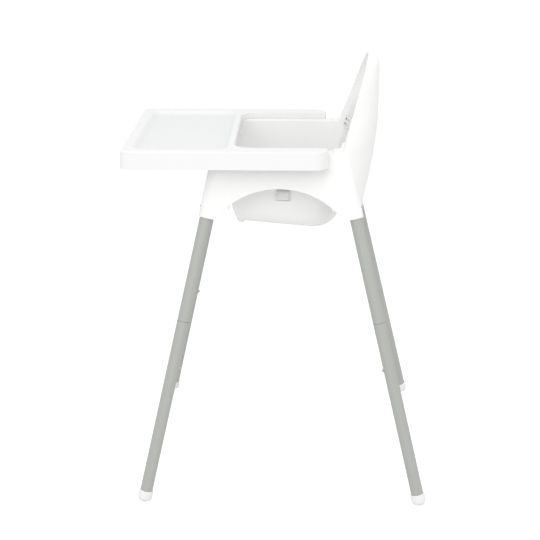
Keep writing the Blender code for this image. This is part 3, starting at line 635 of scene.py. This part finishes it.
def make_glide(leg):
    """A plug in the tube's end: ribbed stem, rolled collar and a domed foot worn flat."""
    gap = 0.0003
    stem = LEG_RADIUS - LEG_WALL - gap
    collar = leg_along(leg, 0.0, GLIDE_HEIGHT) - gap
    profile = [(0.0, collar + 0.022), (stem - 0.0015, collar + 0.022), (stem, collar + 0.018)]
    for part in range(3):
        height = collar + 0.015 - part * 0.005
        profile += [(stem, height), (stem - 0.0007, height - 0.001), (stem, height - 0.002)]
    profile += [(stem, collar), (LEG_RADIUS, collar)]
    roll = 0.0016
    for rise, drop in quarter(6):
        profile.append((GLIDE_RADIUS - roll * (1 - rise), collar - roll * drop))
    dome = 0.008
    for part in range(17):
        angle = part / 16 * pi / 2
        radius = GLIDE_RADIUS * cos(angle) ** 0.7 if part < 16 else 0.0
        profile.append((radius, dome - dome * 1.35 * sin(angle)))
    tail = "_".join(leg)
    glide = turned_on_leg(f"foot_glide_plug_{tail}", profile, leg, 0.0)
    below = leg_point(leg, 0.0) - Vector((0.0, 0.0, 0.02))
    cut(glide, block("floor_cut", (0.08, 0.08, 0.04), below))
    finish_piece(glide, GLIDE_PLASTIC, "glide_plastic", f"foot_glide_{tail}")


def make_button(leg, z, way, bore, crown, name, body, node):
    """A domed button whose shoulder bears on a tube's bore, from the inside."""
    tail = "_".join(leg)
    inner = sqrt(bore**2 - BUTTON_SHOULDER**2) - BUTTON_CLEARANCE
    profile = [(0.0, crown)]
    for rise, drop in quarter(8)[1:]:
        profile.append((BUTTON_RADIUS * rise, crown - BUTTON_DOME * drop))
    profile += [(BUTTON_RADIUS, inner), (BUTTON_SHOULDER, inner)]
    profile += [(BUTTON_SHOULDER, inner - BUTTON_HEAD), (0.0, inner - BUTTON_HEAD)]
    facing = button_direction(leg) * way
    button = turned(f"{name}_{tail}", profile, leg_point(leg, z), facing, steps=32)
    finish_piece(button, BUTTON_STEEL, "button_steel", f"{node}_{tail}", body=f"{body}_{tail}")


def make_leg_buttons(leg):
    bore = LEG_RADIUS - LEG_WALL
    crown = SOCKET_RADIUS + SOCKET_BUTTON_PROUD
    names = ("socket_snap", "snap_button", "leg_button")
    make_button(leg, SOCKET_BUTTON_Z, 1, bore, crown, *names)
    bore -= SPIGOT_GAP + LEG_WALL
    crown = LEG_RADIUS + JOINT_BUTTON_PROUD
    names = ("joint_snap", "joint_snap", "joint_button")
    make_button(leg, JOINT_BUTTON_Z, -1, bore, crown, *names)


# --- seat shell


def apron_half(z):
    return 0.181 - 0.139 * (z - MOUTH_Z)


def apron_front(z):
    return -0.1605 + 0.245 * (z - MOUTH_Z)


def apron_crease(z):
    return 0.1686 - 0.234 * (z - MOUTH_Z)


def back_rear(z):
    return 0.2062 - 0.70 * max(0.0, 0.80 - z) ** 2


def seat_back(z):
    lean = 0.1295 + WING_SLOPE * max(0.0, z - 0.600)
    meeting = back_rear(z) - WALL
    return -sqrt(((meeting - lean) / 2) ** 2 + 0.012**2 / 4) + (lean + meeting) / 2


def apron_outline(z, inset):
    """Flat sides and front, and a rear that bows out between creases behind the rear sockets."""
    half = apron_half(z) - inset
    front = apron_front(z) + inset
    crease = apron_crease(z) - inset * 0.6
    rear = back_rear(z) - inset
    bow = rear - crease
    radius = (half**2 + bow**2) / (2 * bow)
    corners = [(0.0, front, 0.0), (half, front, 0.016 - inset), (half, crease, 0.010)]
    corners.append((half * 0.9, crease + 0.2 * bow, 0.0))
    half_outline = rounded_outline(corners)[:-1]
    opening = asin(half / radius)
    arc = []
    for part in range(41):
        angle = opening * 0.93 * (1 - part / 40)
        arc.append(Vector((radius * sin(angle), rear - radius * (1 - cos(angle)))))
    return both_halves(half_outline + arc)


def make_apron(name, inset, low, high):
    return stack(name, *[(apron_outline(z, inset), z) for z in np.linspace(low, high, 24)])


def rounded_top(z, half, top, power):
    share = max(0.0, (z - WING_Z) / (top - WING_Z))
    return half * max(0.0, 1 - share**power) ** (1 / power)


def tub_half(z):
    if z >= RIM_Z:
        return rounded_top(z, TUB_HALF_RIM, BACK_TOP_Z - 0.0032, 2.0)
    share = (z - SEAT_FLOOR_Z) / (RIM_Z - SEAT_FLOOR_Z)
    return TUB_HALF_LOW + (TUB_HALF_RIM - TUB_HALF_LOW) * share


def tub_outline(half, front, rear, grow, corner=0.030):
    """A flat front, rounded corners, straight sides, and a superellipse behind the shoulders."""
    half, front, rear, corner = half + grow, front - grow, rear + grow, corner + grow
    steps = 40
    right = rounded_outline([(0.0, front, 0.0), (half, front, corner), (half, TUB_SHOULDER_Y, 0.0)])
    for part in range(1, steps + 1):
        angle = part / steps * pi / 2
        x = half * cos(angle) ** (2 / TUB_POWER) if part < steps else 0.0
        y = TUB_SHOULDER_Y + (rear - TUB_SHOULDER_Y) * sin(angle) ** (2 / TUB_POWER)
        right.append(Vector((x, y)))
    return both_halves(right)


def seat_fall(y, z):
    share = min(1.0, max(0.0, (0.66 - z) / (0.66 - SEAT_FLOOR_Z)))
    return SEAT_FALL * (y - LIP_LOW.y) * share


def drawn_in(rear, z, start, power, share):
    """A rear depth, drawn in towards the shoulders near the back's top."""
    left = 1.0 - share * max(0.0, (z - start) / (BACK_TOP_Z - start)) ** power
    return TUB_SHOULDER_Y + (rear - TUB_SHOULDER_Y) * left


def make_tub(name, grow, front, step_z, top):
    """The seat's hollow: a bowl with a filleted bottom edge, and the space between the wings."""
    loops = []
    fillet = SEAT_FILLET + grow
    floor = SEAT_FLOOR_Z - grow
    start = floor + fillet
    steps = [(floor + fillet * drop, fillet * (1 - rise)) for rise, drop in quarter(16)]
    steps += [(start + (step_z - start) * part / 14, 0.0) for part in range(1, 15)]
    for z, inset in steps:
        outline = tub_outline(tub_half(z) - inset, front, seat_back(z) - inset, grow)
        loops.append([(p.x, p.y, z - seat_fall(p.y, z)) for p in outline])
    levels = [step_z + 0.0005, 0.5 * (step_z + RIM_Z), RIM_Z, WING_Z]
    while levels[-1] < BACK_TOP_Z - 0.035:
        levels.append(levels[-1] + 0.005)
    drops = (0.027, 0.022, 0.018, 0.0145, 0.0115, 0.009, 0.0073, 0.0062)
    levels += [BACK_TOP_Z - drop for drop in drops]
    for z in [height for height in levels if height <= top]:
        half = tub_half(z)
        rear = drawn_in(seat_back(z), z, 0.870, 2.0, 0.10)
        corner = min(0.030, half * 0.7)
        loops.append(level(tub_outline(half, TUB_FRONT_Y, rear, grow, corner=corner), z))
    return loft(name, loops)


def back_outline(z, grow):
    half = rounded_top(z, BACK_HALF, BACK_TOP_Z, 2.4)
    rear = drawn_in(back_rear(z), z, 0.874, 2.5, 0.11)
    corner = min(0.010, half * 0.5)
    return tub_outline(half, 0.02, rear, grow, corner=max(0.001, corner - grow))


def wing_cutter(inset):
    """A block whose rear face is the front edge of the wings."""
    lean = atan2(WING_SLOPE, 1.0)
    along = Vector((0.0, sin(lean), cos(lean)))
    ahead = Vector((0.0, -cos(lean), sin(lean)))
    foot = Vector((0.0, WING_Y, WING_Z)) - ahead * inset
    centre = foot + ahead * 0.15 + along * 0.02
    turn = Matrix.Rotation(-lean, 3, "X").to_quaternion()
    return block("wing_cutter", (0.5, 0.30, 0.50), centre, turn)


def make_back(name, inset, top=BACK_TOP_Z):
    """The back and wings, from below the rim to the rounded top or to a lower level."""
    levels = [0.700, 0.720, WING_Z] + [WING_Z + 0.005 * part for part in range(1, 26)]
    levels += [0.869, 0.873, 0.877, 0.881, 0.885, 0.8885]
    levels += [0.8915, 0.894, 0.8962, 0.8979, 0.8989, 0.8993]
    loops = []
    for z in [height for height in levels if height < top]:
        lowered = z - inset * max(0.0, (z - WING_Z) / (BACK_TOP_Z - WING_Z))
        loops.append(level(back_outline(z, -inset), lowered))
    return cut(loft(name, loops), wing_cutter(inset))


def lip_slab(name, thickness, ahead=0.0):
    centre = LIP_LOW.lerp(LIP_HIGH, 0.5) + LIP_AHEAD * (ahead - thickness / 2)
    return block(name, (0.5, thickness, 0.5), centre, LIP_TURN)


def arch_cutter(name, axis, centre, crown, half_span, springing, low, high):
    rise = crown - springing
    radius = (half_span**2 + rise**2) / (2 * rise)
    opening = asin(half_span / radius)
    flare = 0.018
    outline = []
    for sign in (-1, 1):
        wide = centre + sign * (half_span + flare)
        outline += [(wide, springing - flare), (wide, 0.50)][::-sign]
    for part in range(61):
        angle = opening * (1 - part / 30)
        outline.append((centre + radius * sin(angle), crown - radius * (1 - cos(angle))))
    return prism(name, outline, low, high, axis)


def plug(name, leg, top, top_radius, foot, foot_radius, steps):
    """A solid on a leg's axis, with its heights taken from the socket's mouth."""
    profile = [(0.0, top), (top_radius, top), (foot_radius, foot), (0.0, foot)]
    return turned_on_leg(name, profile, leg, MOUTH_Z, steps)


def make_socket(leg):
    top = leg_along(leg, MOUTH_Z, SOCKET_TOP_Z)
    return plug("socket", leg, top, SOCKET_RADIUS + 0.0015, -0.0005, SOCKET_RADIUS, 96)


def make_socket_bore(leg):
    top = leg_along(leg, MOUTH_Z, LEG_TOP_Z) + 0.0015
    return plug("socket_bore", leg, top, SOCKET_BORE, -0.05, SOCKET_BORE, 72)


def make_gusset(leg):
    y, x = GUSSET_Y[leg[0]], SIDES[leg[1]]
    low, high = 0.607, RIM_Z - WALL / 2
    outer_low, outer_high = apron_half(low) - WALL / 2, apron_half(high) - WALL / 2
    outline = [(x * 0.112, low), (x * outer_low, low), (x * outer_high, high), (x * 0.136, high)]
    return prism("gusset", outline[:: round(x)], y - 0.0013, y + 0.0013, (0, 2))


def make_slot_cutters():
    cutters = []
    for x in SIDES.values():
        place = Vector((x * SHOULDER_SLOT.x, SHOULDER_SLOT.y, SHOULDER_SLOT.z))
        turn = Matrix.Rotation(-x * radians(20), 3, "Z").to_quaternion()
        cutters.append(block("shoulder_slot", (SLOT_LENGTH, 0.016, SLOT_HEIGHT), place, turn))
        for z in WAIST_SLOTS_Z:
            place = Vector((x * 0.127, WAIST_SLOT_Y, z))
            cutters.append(block("waist_slot", (0.024, SLOT_LENGTH, SLOT_HEIGHT), place))
    place = Vector((0.0, CROTCH_SLOT_Y, SEAT_FLOOR_Z))
    cutters.append(block("crotch_slot", (SLOT_LENGTH, SLOT_HEIGHT, 0.03), place))
    return cutters


def make_tub_skin():
    tub = make_tub("tub_outside", WALL, -0.20, CROSSBAR_Z - 0.002, 1.0)
    cut(tub, lip_slab("ahead_of_lip", 0.30, ahead=0.30))
    above = block("above_rim", (0.5, 0.6, 0.3), Vector((0.0, 0.0, RIM_Z - WALL / 2 + 0.15)))
    cut(tub, cut(above, make_back("back_middle", WALL / 2)))
    bead = make_tub("lip_bead", WALL + BEAD_PROUD, -0.20, CROSSBAR_Z + 0.004, CROSSBAR_Z + 0.006)
    keep_within(bead, lip_slab("lip_bead_slab", BEAD_WIDTH))
    return join(tub, bead)


def reach(outline, angle):
    """How far an outline lies from the middle of the shoulder line in one direction."""
    ahead = Vector((cos(angle), sin(angle)))
    farthest = 0.0
    for first, second in zip(outline, outline[1:] + outline[:1]):
        side = second - first
        turn = ahead.cross(side)
        offset = first - Vector((0.0, TUB_SHOULDER_Y))
        if abs(turn) >= 1e-9 and -1e-6 <= offset.cross(ahead) / turn <= 1.000001:
            farthest = max(farthest, offset.cross(side) / turn)
    return farthest


def make_flare(name, inset, levels=24, steps=120):
    """Carries the apron's rear corners smoothly up into the wings and the back."""
    angles = [pi * part / steps for part in range(steps + 1)]
    apron = apron_outline(RIM_Z, inset)
    back = back_outline(RIM_Z, -inset)
    surplus = [reach(apron, angle) - reach(back, angle) for angle in angles]
    loops = []
    for part in range(levels + 1):
        share = part / levels
        z = RIM_Z + FLARE_HEIGHT * share
        spread = 2 * share**3 - 3 * share**2 + 1 - FLARE_LEAN * (share**3 - 2 * share**2 + share)
        back = back_outline(z, -inset)
        outline = []
        for angle, extra in zip(angles, surplus):
            distance = reach(back, angle) + extra * spread - 0.0001
            outline.append((distance * cos(angle), TUB_SHOULDER_Y + distance * sin(angle)))
        loops.append(level(outline, z))
    loops.insert(0, level(loops[0], RIM_Z - inset - WALL / 2))
    return cut(loft(name, loops), wing_cutter(inset))


def make_wing_fillet():
    """A concave fillet that carries the rim up into the foot of the wings and the back."""
    loops = []
    for part in range(9):
        height = WING_FILLET * part / 8
        grow = WING_FILLET - sqrt(WING_FILLET**2 - (WING_FILLET - height) ** 2)
        z = RIM_Z + RAISED_RIM + height
        loops.append(level(back_outline(z, grow), z))
    loops.insert(0, level(loops[0], RIM_Z - WALL / 2))
    fillet = cut(loft("wing_fillet", loops), wing_cutter(-WING_FILLET * 0.35))
    return keep_within(fillet, make_apron("apron_reach", 0.0015, 0.600, 0.760))


def make_raised_rim():
    """The rim behind the tray's arms, a little higher than where the tray rests."""
    raised = make_apron("raised_rim", 0.0, RIM_Z - WALL / 2, RIM_Z + RAISED_RIM)
    centre = Vector((0.0, RAISED_RIM_Y - 0.30, RIM_Z))
    return cut(raised, block("ahead_of_raised_rim", (0.5, 0.6, 0.2), centre))


def make_seat_shell():
    shell = make_apron("seat_shell_moulding", 0.0, 0.575, RIM_Z)
    join(shell, make_back("back_outer", 0.0))
    join(shell, make_raised_rim(), make_flare("flare", 0.0), make_wing_fillet())
    hollow = make_apron("apron_hollow", WALL, 0.560, RIM_Z - WALL)
    back = make_back("back_hollow", WALL, HOLLOW_TOP_Z)
    cut(shell, join(hollow, back, make_flare("flare_hollow", WALL)))
    cut(
        shell,
        arch_cutter("side_arches", (1, 2), 0.003, 0.6515, 0.120, 0.600, -0.30, 0.30),
        arch_cutter("front_arch", (0, 2), 0.0, 0.690, 0.133, 0.600, -0.30, 0.0),
        arch_cutter("rear_arch", (0, 2), 0.0, 0.652, 0.133, 0.600, 0.05, 0.30),
    )
    cut(shell, *[plug("mouth_trim", leg, 0.0, 0.043, -0.06, 0.043, 48) for leg in LEGS])
    join(shell, *[make_socket(leg) for leg in LEGS])
    join(shell, make_tub_skin())
    join(shell, *[make_gusset(leg) for leg in LEGS])
    cut(shell, make_tub("tub_inside", 0.0, -0.30, CROSSBAR_Z, 1.0))
    length = (LIP_HIGH - LIP_LOW).length + 0.006
    centre = LIP_LOW.lerp(LIP_HIGH, 0.5) - LIP_AHEAD * 0.0065
    join(shell, block("leg_post", (0.028, 0.011, length), centre, LIP_TURN))
    cut(shell, *[make_socket_bore(leg) for leg in LEGS])
    holes = [button_hole(leg, SOCKET_BUTTON_Z) for leg in LEGS]
    cut(shell, *holes, *make_slot_cutters())
    modify(shell, "REMESH", mode="VOXEL", voxel_size=SHELL_VOXEL * 1)
    relax(shell.data, 8)
    finish_piece(shell, SEAT_PLASTIC, "seat_plastic", "seat_shell", sharp=None)


# --- tray


def tray_outline(grow):
    """A U in plan: square front corners lightly rounded, two arms round the child's body."""
    half = TRAY_HALF + grow
    inner = TRAY_OPENING_HALF - grow
    front = TRAY_FRONT_Y - grow
    end = TRAY_END_Y + grow
    opening = TRAY_OPENING_Y + grow
    corners = [(0.0, front, 0.0), (half, front, 0.012 + grow), (half, end, 0.029 + grow)]
    corners += [(inner, end, 0.0075 + grow), (inner, opening, 0.034 - grow), (0.0, opening, 0.0)]
    return rounded_outline(both_halves(corners))


def play_outline(grow):
    front, rear = PLAY_FRONT_Y - grow, PLAY_REAR_Y + grow
    return rounded_rectangle(PLAY_HALF + grow, front, rear, 0.018 + grow)


def make_rim_clearance():
    end = 0.140
    loops = []
    for z in (TRAY_SKIRT_Z - 0.020, TRAY_SKIRT_Z, RIM_Z + 0.0005):
        half = max(TRAY_OPENING_HALF + TRAY_WALL + 0.0006, apron_half(z) + 0.0010)
        loops.append([(-half, -end, z), (half, -end, z), (half, end, z), (-half, end, z)])
    return loft("rim_clearance", loops)


def make_tray():
    top, above = TRAY_TOP_Z, TRAY_TOP_Z + 0.01
    edge, foot = 0.0032, 0.0008
    layers = []
    for inset, rise in ((1.0, 0.0), (0.3, 0.3), (0.0, 1.0)):
        layers.append((tray_outline(TRAY_DRAFT - foot * inset), TRAY_SKIRT_Z + foot * rise))
    for rise, inset in quarter(7):
        layers.append((tray_outline(-edge * inset), top - edge + edge * rise))
    tray = stack("tray_moulding", *layers)
    under = stack(
        "tray_underside",
        (tray_outline(TRAY_DRAFT - TRAY_WALL), TRAY_SKIRT_Z - 0.01),
        (tray_outline(-TRAY_WALL), top - TRAY_WALL),
    )
    floor = stack(
        "play_floor",
        (play_outline(TRAY_WALL), PLAY_FLOOR_Z - 0.0023),
        (play_outline(PLAY_SLOPE + TRAY_WALL), above),
    )
    cut(under, floor)
    fillet, lip = 0.0040, 0.0026
    rise = top - PLAY_FLOOR_Z
    layers = []
    for along, up in quarter(7):
        grow = PLAY_SLOPE * fillet * up / rise - fillet * (1 - along)
        layers.append((play_outline(grow), PLAY_FLOOR_Z + fillet * up))
    for along, out in quarter(6):
        z = top - lip + lip * along
        grow = PLAY_SLOPE * (z - PLAY_FLOOR_Z) / rise + lip * out
        layers.append((play_outline(grow), z))
    layers.append((play_outline(PLAY_SLOPE + lip * 1.02), above))
    cut(tray, under, stack("play_hollow", *layers), make_rim_clearance())
    finish_piece(tray, TRAY_PLASTIC, "tray_plastic", "tray", body="tray", sharp=38)


# --- harness

SHOULDER_PATH = [  # the left strap, from its slot down to the waist strap
    (0.068, 0.1815, 0.7889),
    (0.0675, 0.1690, 0.7877),
    (0.066, 0.1570, 0.772),
    (0.064, 0.1470, 0.738),
    (0.061, 0.1370, 0.705),
    (0.057, 0.1200, 0.650),
    (0.052, 0.0950, 0.603),
    (0.0500, 0.0600, 0.5775),
    (0.0500, 0.0330, 0.5708),
    (0.0500, 0.0070, 0.5680),
]
SLIDER_CENTRE = (0.0638, 0.1462, 0.7355)
WAIST_PATH = [  # out through the upper slot, in through the lower one, down to the tongue
    (0.118, WAIST_SLOT_Y, WAIST_SLOTS_Z[1]),
    (0.1305, WAIST_SLOT_Y, WAIST_SLOTS_Z[1]),
    (0.1345, WAIST_SLOT_Y, WAIST_SLOTS_Z[1] - 0.004),
    (0.1333, WAIST_SLOT_Y, WAIST_SLOTS_Z[0] + 0.004),
    (0.1295, WAIST_SLOT_Y, WAIST_SLOTS_Z[0]),
    (0.1160, WAIST_SLOT_Y, WAIST_SLOTS_Z[0]),
    (0.1110, WAIST_SLOT_Y, 0.601),
    (0.1050, WAIST_SLOT_Y, 0.587),
    (0.0950, WAIST_SLOT_Y, 0.575),
    (0.0780, 0.008, 0.5660),
    (0.0560, 0.005, 0.5650),
    (0.0390, 0.004, 0.5650),
]
CROTCH_PATH = [  # up through its slot and back to the buckle
    (0.0, CROTCH_SLOT_Y, 0.5495),
    (0.0, CROTCH_SLOT_Y, 0.562),
    (0.0, CROTCH_SLOT_Y + 0.007, 0.5680),
    (0.0, BUCKLE_CENTRE.y - BUCKLE_SIZE.y / 2 - 0.0008, BUCKLE_CENTRE.z),
]


def frame_along(path, across):
    """(place, side, up) at each point of a path, with side as near to across as the path allows."""
    rows = []
    for index, place in enumerate(path):
        ahead = (path[min(index + 1, len(path) - 1)] - path[max(index - 1, 0)]).normalized()
        up = ahead.cross(across).normalized()
        rows.append((place, up.cross(ahead).normalized(), up))
    return rows


def resampled(path, pitch):
    """The path with points at an even pitch."""
    lengths = [0.0]
    for first, second in zip(path, path[1:]):
        lengths.append(lengths[-1] + (second - first).length)
    count = max(2, round(lengths[-1] / pitch))
    made = []
    index = 0
    for part in range(count + 1):
        target = lengths[-1] * part / count
        while index < len(path) - 2 and lengths[index + 1] < target:
            index += 1
        span = max(1e-9, lengths[index + 1] - lengths[index])
        made.append(path[index].lerp(path[index + 1], (target - lengths[index]) / span))
    return made


def yarn_height(column, row):
    """A twill: each yarn stands proud in a diagonal pattern."""
    return 0.00010 if (column + 2 * row) % 4 < 2 else -0.00008


def make_webbing(name, points, across, node):
    """Woven webbing: a grid of yarns whose relief is geometry, with selvedges, on both faces."""
    path = resampled(smooth_path(points), 0.0011)
    rows = frame_along(path, across)
    columns = 24
    half = WEBBING_WIDTH / 2
    thick = WEBBING_THICKNESS / 2
    loops = []
    for row, (place, side, up) in enumerate(rows):
        loop = []
        for face in (1, -1):
            for column in range(columns + 1)[::face]:
                x = -half + WEBBING_WIDTH * column / columns
                selvedge = column in (0, columns)
                height = thick * 0.55 if selvedge else thick + yarn_height(column, row)
                loop.append(place + side * x + up * face * height)
        loops.append(loop)
    finish_piece(loft(name, loops), WEBBING, "webbing", node, sharp=None)
    return rows


def stitch_box(name, rows, start, length):
    """Bar stitching: small rounded stitches in rows along and across the webbing."""
    pitch = (rows[1][0] - rows[0][0]).length
    first = round(start / pitch)
    last = min(len(rows) - 1, round((start + length) / pitch))
    stitches = []
    for share in (-0.40, 0.40):
        stitches += [(index, share, True) for index in range(first, last, 2)]
    for index in (first, (first + last) // 2, last):
        stitches += [(index, part * 0.09, False) for part in range(-4, 5)]
    proud = WEBBING_THICKNESS / 2 + 0.00012
    scale = Matrix.Diagonal((*STITCH, 1.0))
    ball = {"u_segments": 8, "v_segments": 5, "radius": 1.0}
    shape = bmesh.new()
    for index, share, lengthwise in stitches:
        place, side, up = rows[index]
        ahead = side.cross(up).normalized()
        axes = (ahead, side, up) if lengthwise else (side, ahead, up)
        turn = Matrix(axes).transposed().to_4x4()
        for face in (1, -1):
            centre = place + side * share * WEBBING_WIDTH + up * face * proud
            matrix = Matrix.Translation(centre) @ turn @ scale
            bmesh.ops.create_uvsphere(shape, matrix=matrix, **ball)
    finish_piece(shape_object(name, shape), THREAD, "webbing", sharp=None)


def on_side(x, points):
    """Points given for the left side, put on the side that x says, or in the middle for 0."""
    return [Vector((x * out, y, z)) for out, y, z in points]


def make_harness_straps():
    for side, x in SIDES.items():
        points = on_side(x, SHOULDER_PATH)
        across = Vector((1.0, -x * SHOULDER_TWIST, 0.0))
        rows = make_webbing(f"shoulder_webbing_{side}", points, across, f"shoulder_strap_{side}")
        stitch_box(f"shoulder_stitching_{side}", rows, 0.2915, 0.016)
        points = on_side(x, WAIST_PATH)
        across = Vector((0.0, 1.0, 0.0))
        rows = make_webbing(f"waist_webbing_{side}", points, across, f"waist_strap_{side}")
        stitch_box(f"waist_stitching_{side}", rows, 0.106, 0.014)
    points = on_side(0.0, CROTCH_PATH)
    rows = make_webbing("crotch_webbing", points, Vector((1.0, 0.0, 0.0)), "crotch_strap")
    stitch_box("crotch_stitching", rows, 0.032, 0.014)


def rounded_plate(name, width, length, low, high, corner, edge, steps=3):
    """A plate with rounded corners and rolled edges, its width along X."""
    turn = quarter(steps)
    levels = [(edge * (1 - rise), low + edge * drop) for rise, drop in turn]
    levels += [(edge * (1 - rise), high - edge * drop) for rise, drop in reversed(turn)]
    loops = []
    for inset, z in levels:
        half, reach_y = width / 2 - inset, length / 2 - inset
        loops.append(level(rounded_rectangle(half, -reach_y, reach_y, corner - inset, 6), z))
    return loft(name, loops)


def make_slider(side):
    """A ladder slider: two windows in its face, and a channel that the webbing runs through."""
    x = SIDES[side]
    centre, above, below = on_side(x, (SLIDER_CENTRE, SHOULDER_PATH[2], SHOULDER_PATH[4]))
    ahead = (below - above).normalized()
    across = Vector((1.0, -x * SHOULDER_TWIST, 0.0)).normalized()
    across = ahead.cross(across).normalized().cross(ahead)
    name, half = f"ladder_slider_{side}", SLIDER_THICKNESS / 2
    slider = rounded_plate(name, 0.034, 0.024, -half, half, 0.0034, 0.0011, 4)
    cutters = [block("slider_channel", (0.0268, 0.05, 0.0036), Vector())]
    for length, y, z in ((0.0056, -0.0052, 0.01), (0.0056, 0.0052, 0.01), (0.0120, 0.0, -0.01)):
        cutters.append(block("slider_window", (0.0258, length, 0.02), Vector((0.0, y, z))))
    cut(slider, *cutters)
    edges = {"limit_method": "ANGLE", "angle_limit": radians(50)}
    modify(slider, "BEVEL", width=0.00045, segments=3, **edges)
    slider.data.transform(Matrix.Diagonal((1.0, 1.0, -1.0, 1.0)))
    slider.data.flip_normals()
    turn = Matrix((across, ahead, across.cross(ahead).normalized())).transposed().to_4x4()
    slider.data.transform(Matrix.Translation(centre) @ turn)
    slider.data.update()
    node, body = f"shoulder_slider_{side}", f"slider_{side}"
    finish_piece(slider, SLIDER_PLASTIC, "slider_plastic", node, body=body)


def make_buckle():
    size = BUCKLE_SIZE
    half = size.z / 2
    housing = rounded_plate("buckle_case", size.x, size.y, -half, half, 0.0085, 0.0036, 6)
    slots = block("tongue_slots", (size.x + 0.01, 0.0205, 0.0046), Vector((0.0, 0.0, -0.0015)))
    cut(slots, block("buckle_core", (0.010, 0.03, 0.01), Vector()))
    well = turned("button_well", [(0.0, 0.02), (0.0086, 0.02), (0.0086, 0.0025), (0.0, 0.0025)])
    groove = turned(
        "case_groove",
        [(0.0115, 0.02), (0.0115, half - 0.0005), (0.0105, half - 0.0005), (0.0105, 0.02)],
    )
    cut(housing, slots, well, groove)
    wide, narrow = (0.004, 0.009), (-0.0008, 0.0082)
    plates = []
    for (more, corner), low, high in ((wide, -0.0049, -0.0045), (narrow, -0.006, -0.003)):
        width, length = size.x + more, size.y + more
        plates.append(rounded_plate("case_seam", width, length, low, high, corner, 0.0001))
    cut(housing, cut(*plates))
    housing.data.transform(Matrix.Translation(BUCKLE_CENTRE))
    finish_piece(housing, BUCKLE_PLASTIC, "buckle_plastic", "buckle_housing")
    radius, crown, foot = 0.0083, 0.0098, 0.0060
    profile = [(0.0, crown)]
    profile += [(radius * rise**0.7, crown - 0.0022 * drop) for rise, drop in quarter(10)[1:]]
    profile += [(radius, foot), (0.0, foot)]
    button = turned("release_button_cap", profile, BUCKLE_CENTRE)
    finish_piece(button, BUTTON_PLASTIC, "button_plastic", "buckle_button", body="release_button")


def make_tongue(side):
    """A flat tongue latched in the housing, with a thicker head outside it."""
    x = SIDES[side]
    place = Vector((0.0, BUCKLE_CENTRE.y, BUCKLE_CENTRE.z - 0.0015))
    tongue = rounded_plate(f"tongue_{side}", 0.0285, 0.0195, -0.0018, 0.0018, 0.0012, 0.0005)
    tongue.data.transform(Matrix.Translation((x * 0.02005, 0.0, 0.0)))
    head = rounded_plate("tongue_head", 0.0120, 0.0330, -0.0025, 0.0025, 0.0030, 0.0010, 4)
    head.data.transform(Matrix.Translation((x * 0.0310, 0.0, 0.0)))
    join(tongue, head)
    tongue.data.transform(Matrix.Translation(place))
    finish_piece(tongue, BUCKLE_PLASTIC, "buckle_plastic", f"buckle_tongue_{side}")


# --- studio

WHITE = (1.0, 1.0, 1.0, 1.0)
ROOM_LIGHT = 0.93
FLOOR_GLOW = 0.34
LIGHTS = {  # place, target, size, watts
    "key": ((2.0, -1.3, 1.8), (0.0, 0.0, 0.60), 1.2, 6.2),
    "fill": ((1.6, 2.1, 1.6), (0.0, 0.1, 0.65), 1.2, 3.6),
    "top": ((1.2, 0.2, 2.5), (0.0, 0.0, 0.70), 1.2, 6.6),
    "low": ((2.6, -0.1, 0.4), (0.0, 0.0, 0.60), 0.9, 2.1),
}


def make_floor():
    shape = bmesh.new()
    bmesh.ops.create_grid(shape, x_segments=1, y_segments=1, size=9.0)
    floor = shape_object("studio_floor", shape)
    surface = Surface("studio_floor", (0.80, 0.80, 0.80), 0.9, specular=0.0)
    surface.shader.inputs["Emission Color"].default_value = WHITE
    seen = surface.node("ShaderNodeLightPath").outputs["Is Camera Ray"]
    glow = surface.ramp(seen, 0.0, FLOOR_GLOW, 0.0, 1.0)
    surface.link(glow, surface.shader.inputs["Emission Strength"])
    floor.data.materials.append(surface.material)


def make_world():
    """An even white room: white to the camera, a little dimmer as a light."""
    world = bpy.data.worlds.new("studio")
    bpy.context.scene.world = world
    world.use_nodes = True
    tree = world.node_tree
    tree.nodes.clear()
    output = tree.nodes.new("ShaderNodeOutputWorld")
    mix = tree.nodes.new("ShaderNodeMixShader")
    rays = tree.nodes.new("ShaderNodeLightPath")
    tree.links.new(rays.outputs["Is Camera Ray"], mix.inputs[0])
    for socket, strength in ((1, ROOM_LIGHT), (2, 1.0)):
        room = tree.nodes.new("ShaderNodeBackground")
        room.inputs["Color"].default_value = WHITE
        room.inputs["Strength"].default_value = strength
        tree.links.new(room.outputs[0], mix.inputs[socket])
    tree.links.new(mix.outputs[0], output.inputs["Surface"])


def make_light(name, place, target, size, power):
    data = bpy.data.lights.new(name, "AREA")
    data.shape, data.size, data.energy = "DISK", size, power
    light = new_object(name, data)
    aim = (Vector(target) - Vector(place)).to_track_quat("-Z", "Y")
    light.matrix_world = Matrix.Translation(place) @ aim.to_matrix().to_4x4()
    light.visible_camera = False


# --- assembly

make_seat_shell()
make_tray()
for each_leg in LEGS:
    make_upper_leg(each_leg)
    make_lower_leg(each_leg)
    make_glide(each_leg)
    make_leg_buttons(each_leg)
make_harness_straps()
for side_name in SIDES:
    make_slider(side_name)
    make_tongue(side_name)
make_buckle()
for node_name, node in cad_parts.items():
    if "spring" in node_name:
        node.data.materials.clear()
        node.data.materials.append(SPRING_STEEL)
make_floor()
make_world()
for light_name, settings in LIGHTS.items():
    make_light(light_name, *settings)
bpy.context.scene.view_settings.view_transform = "Standard"
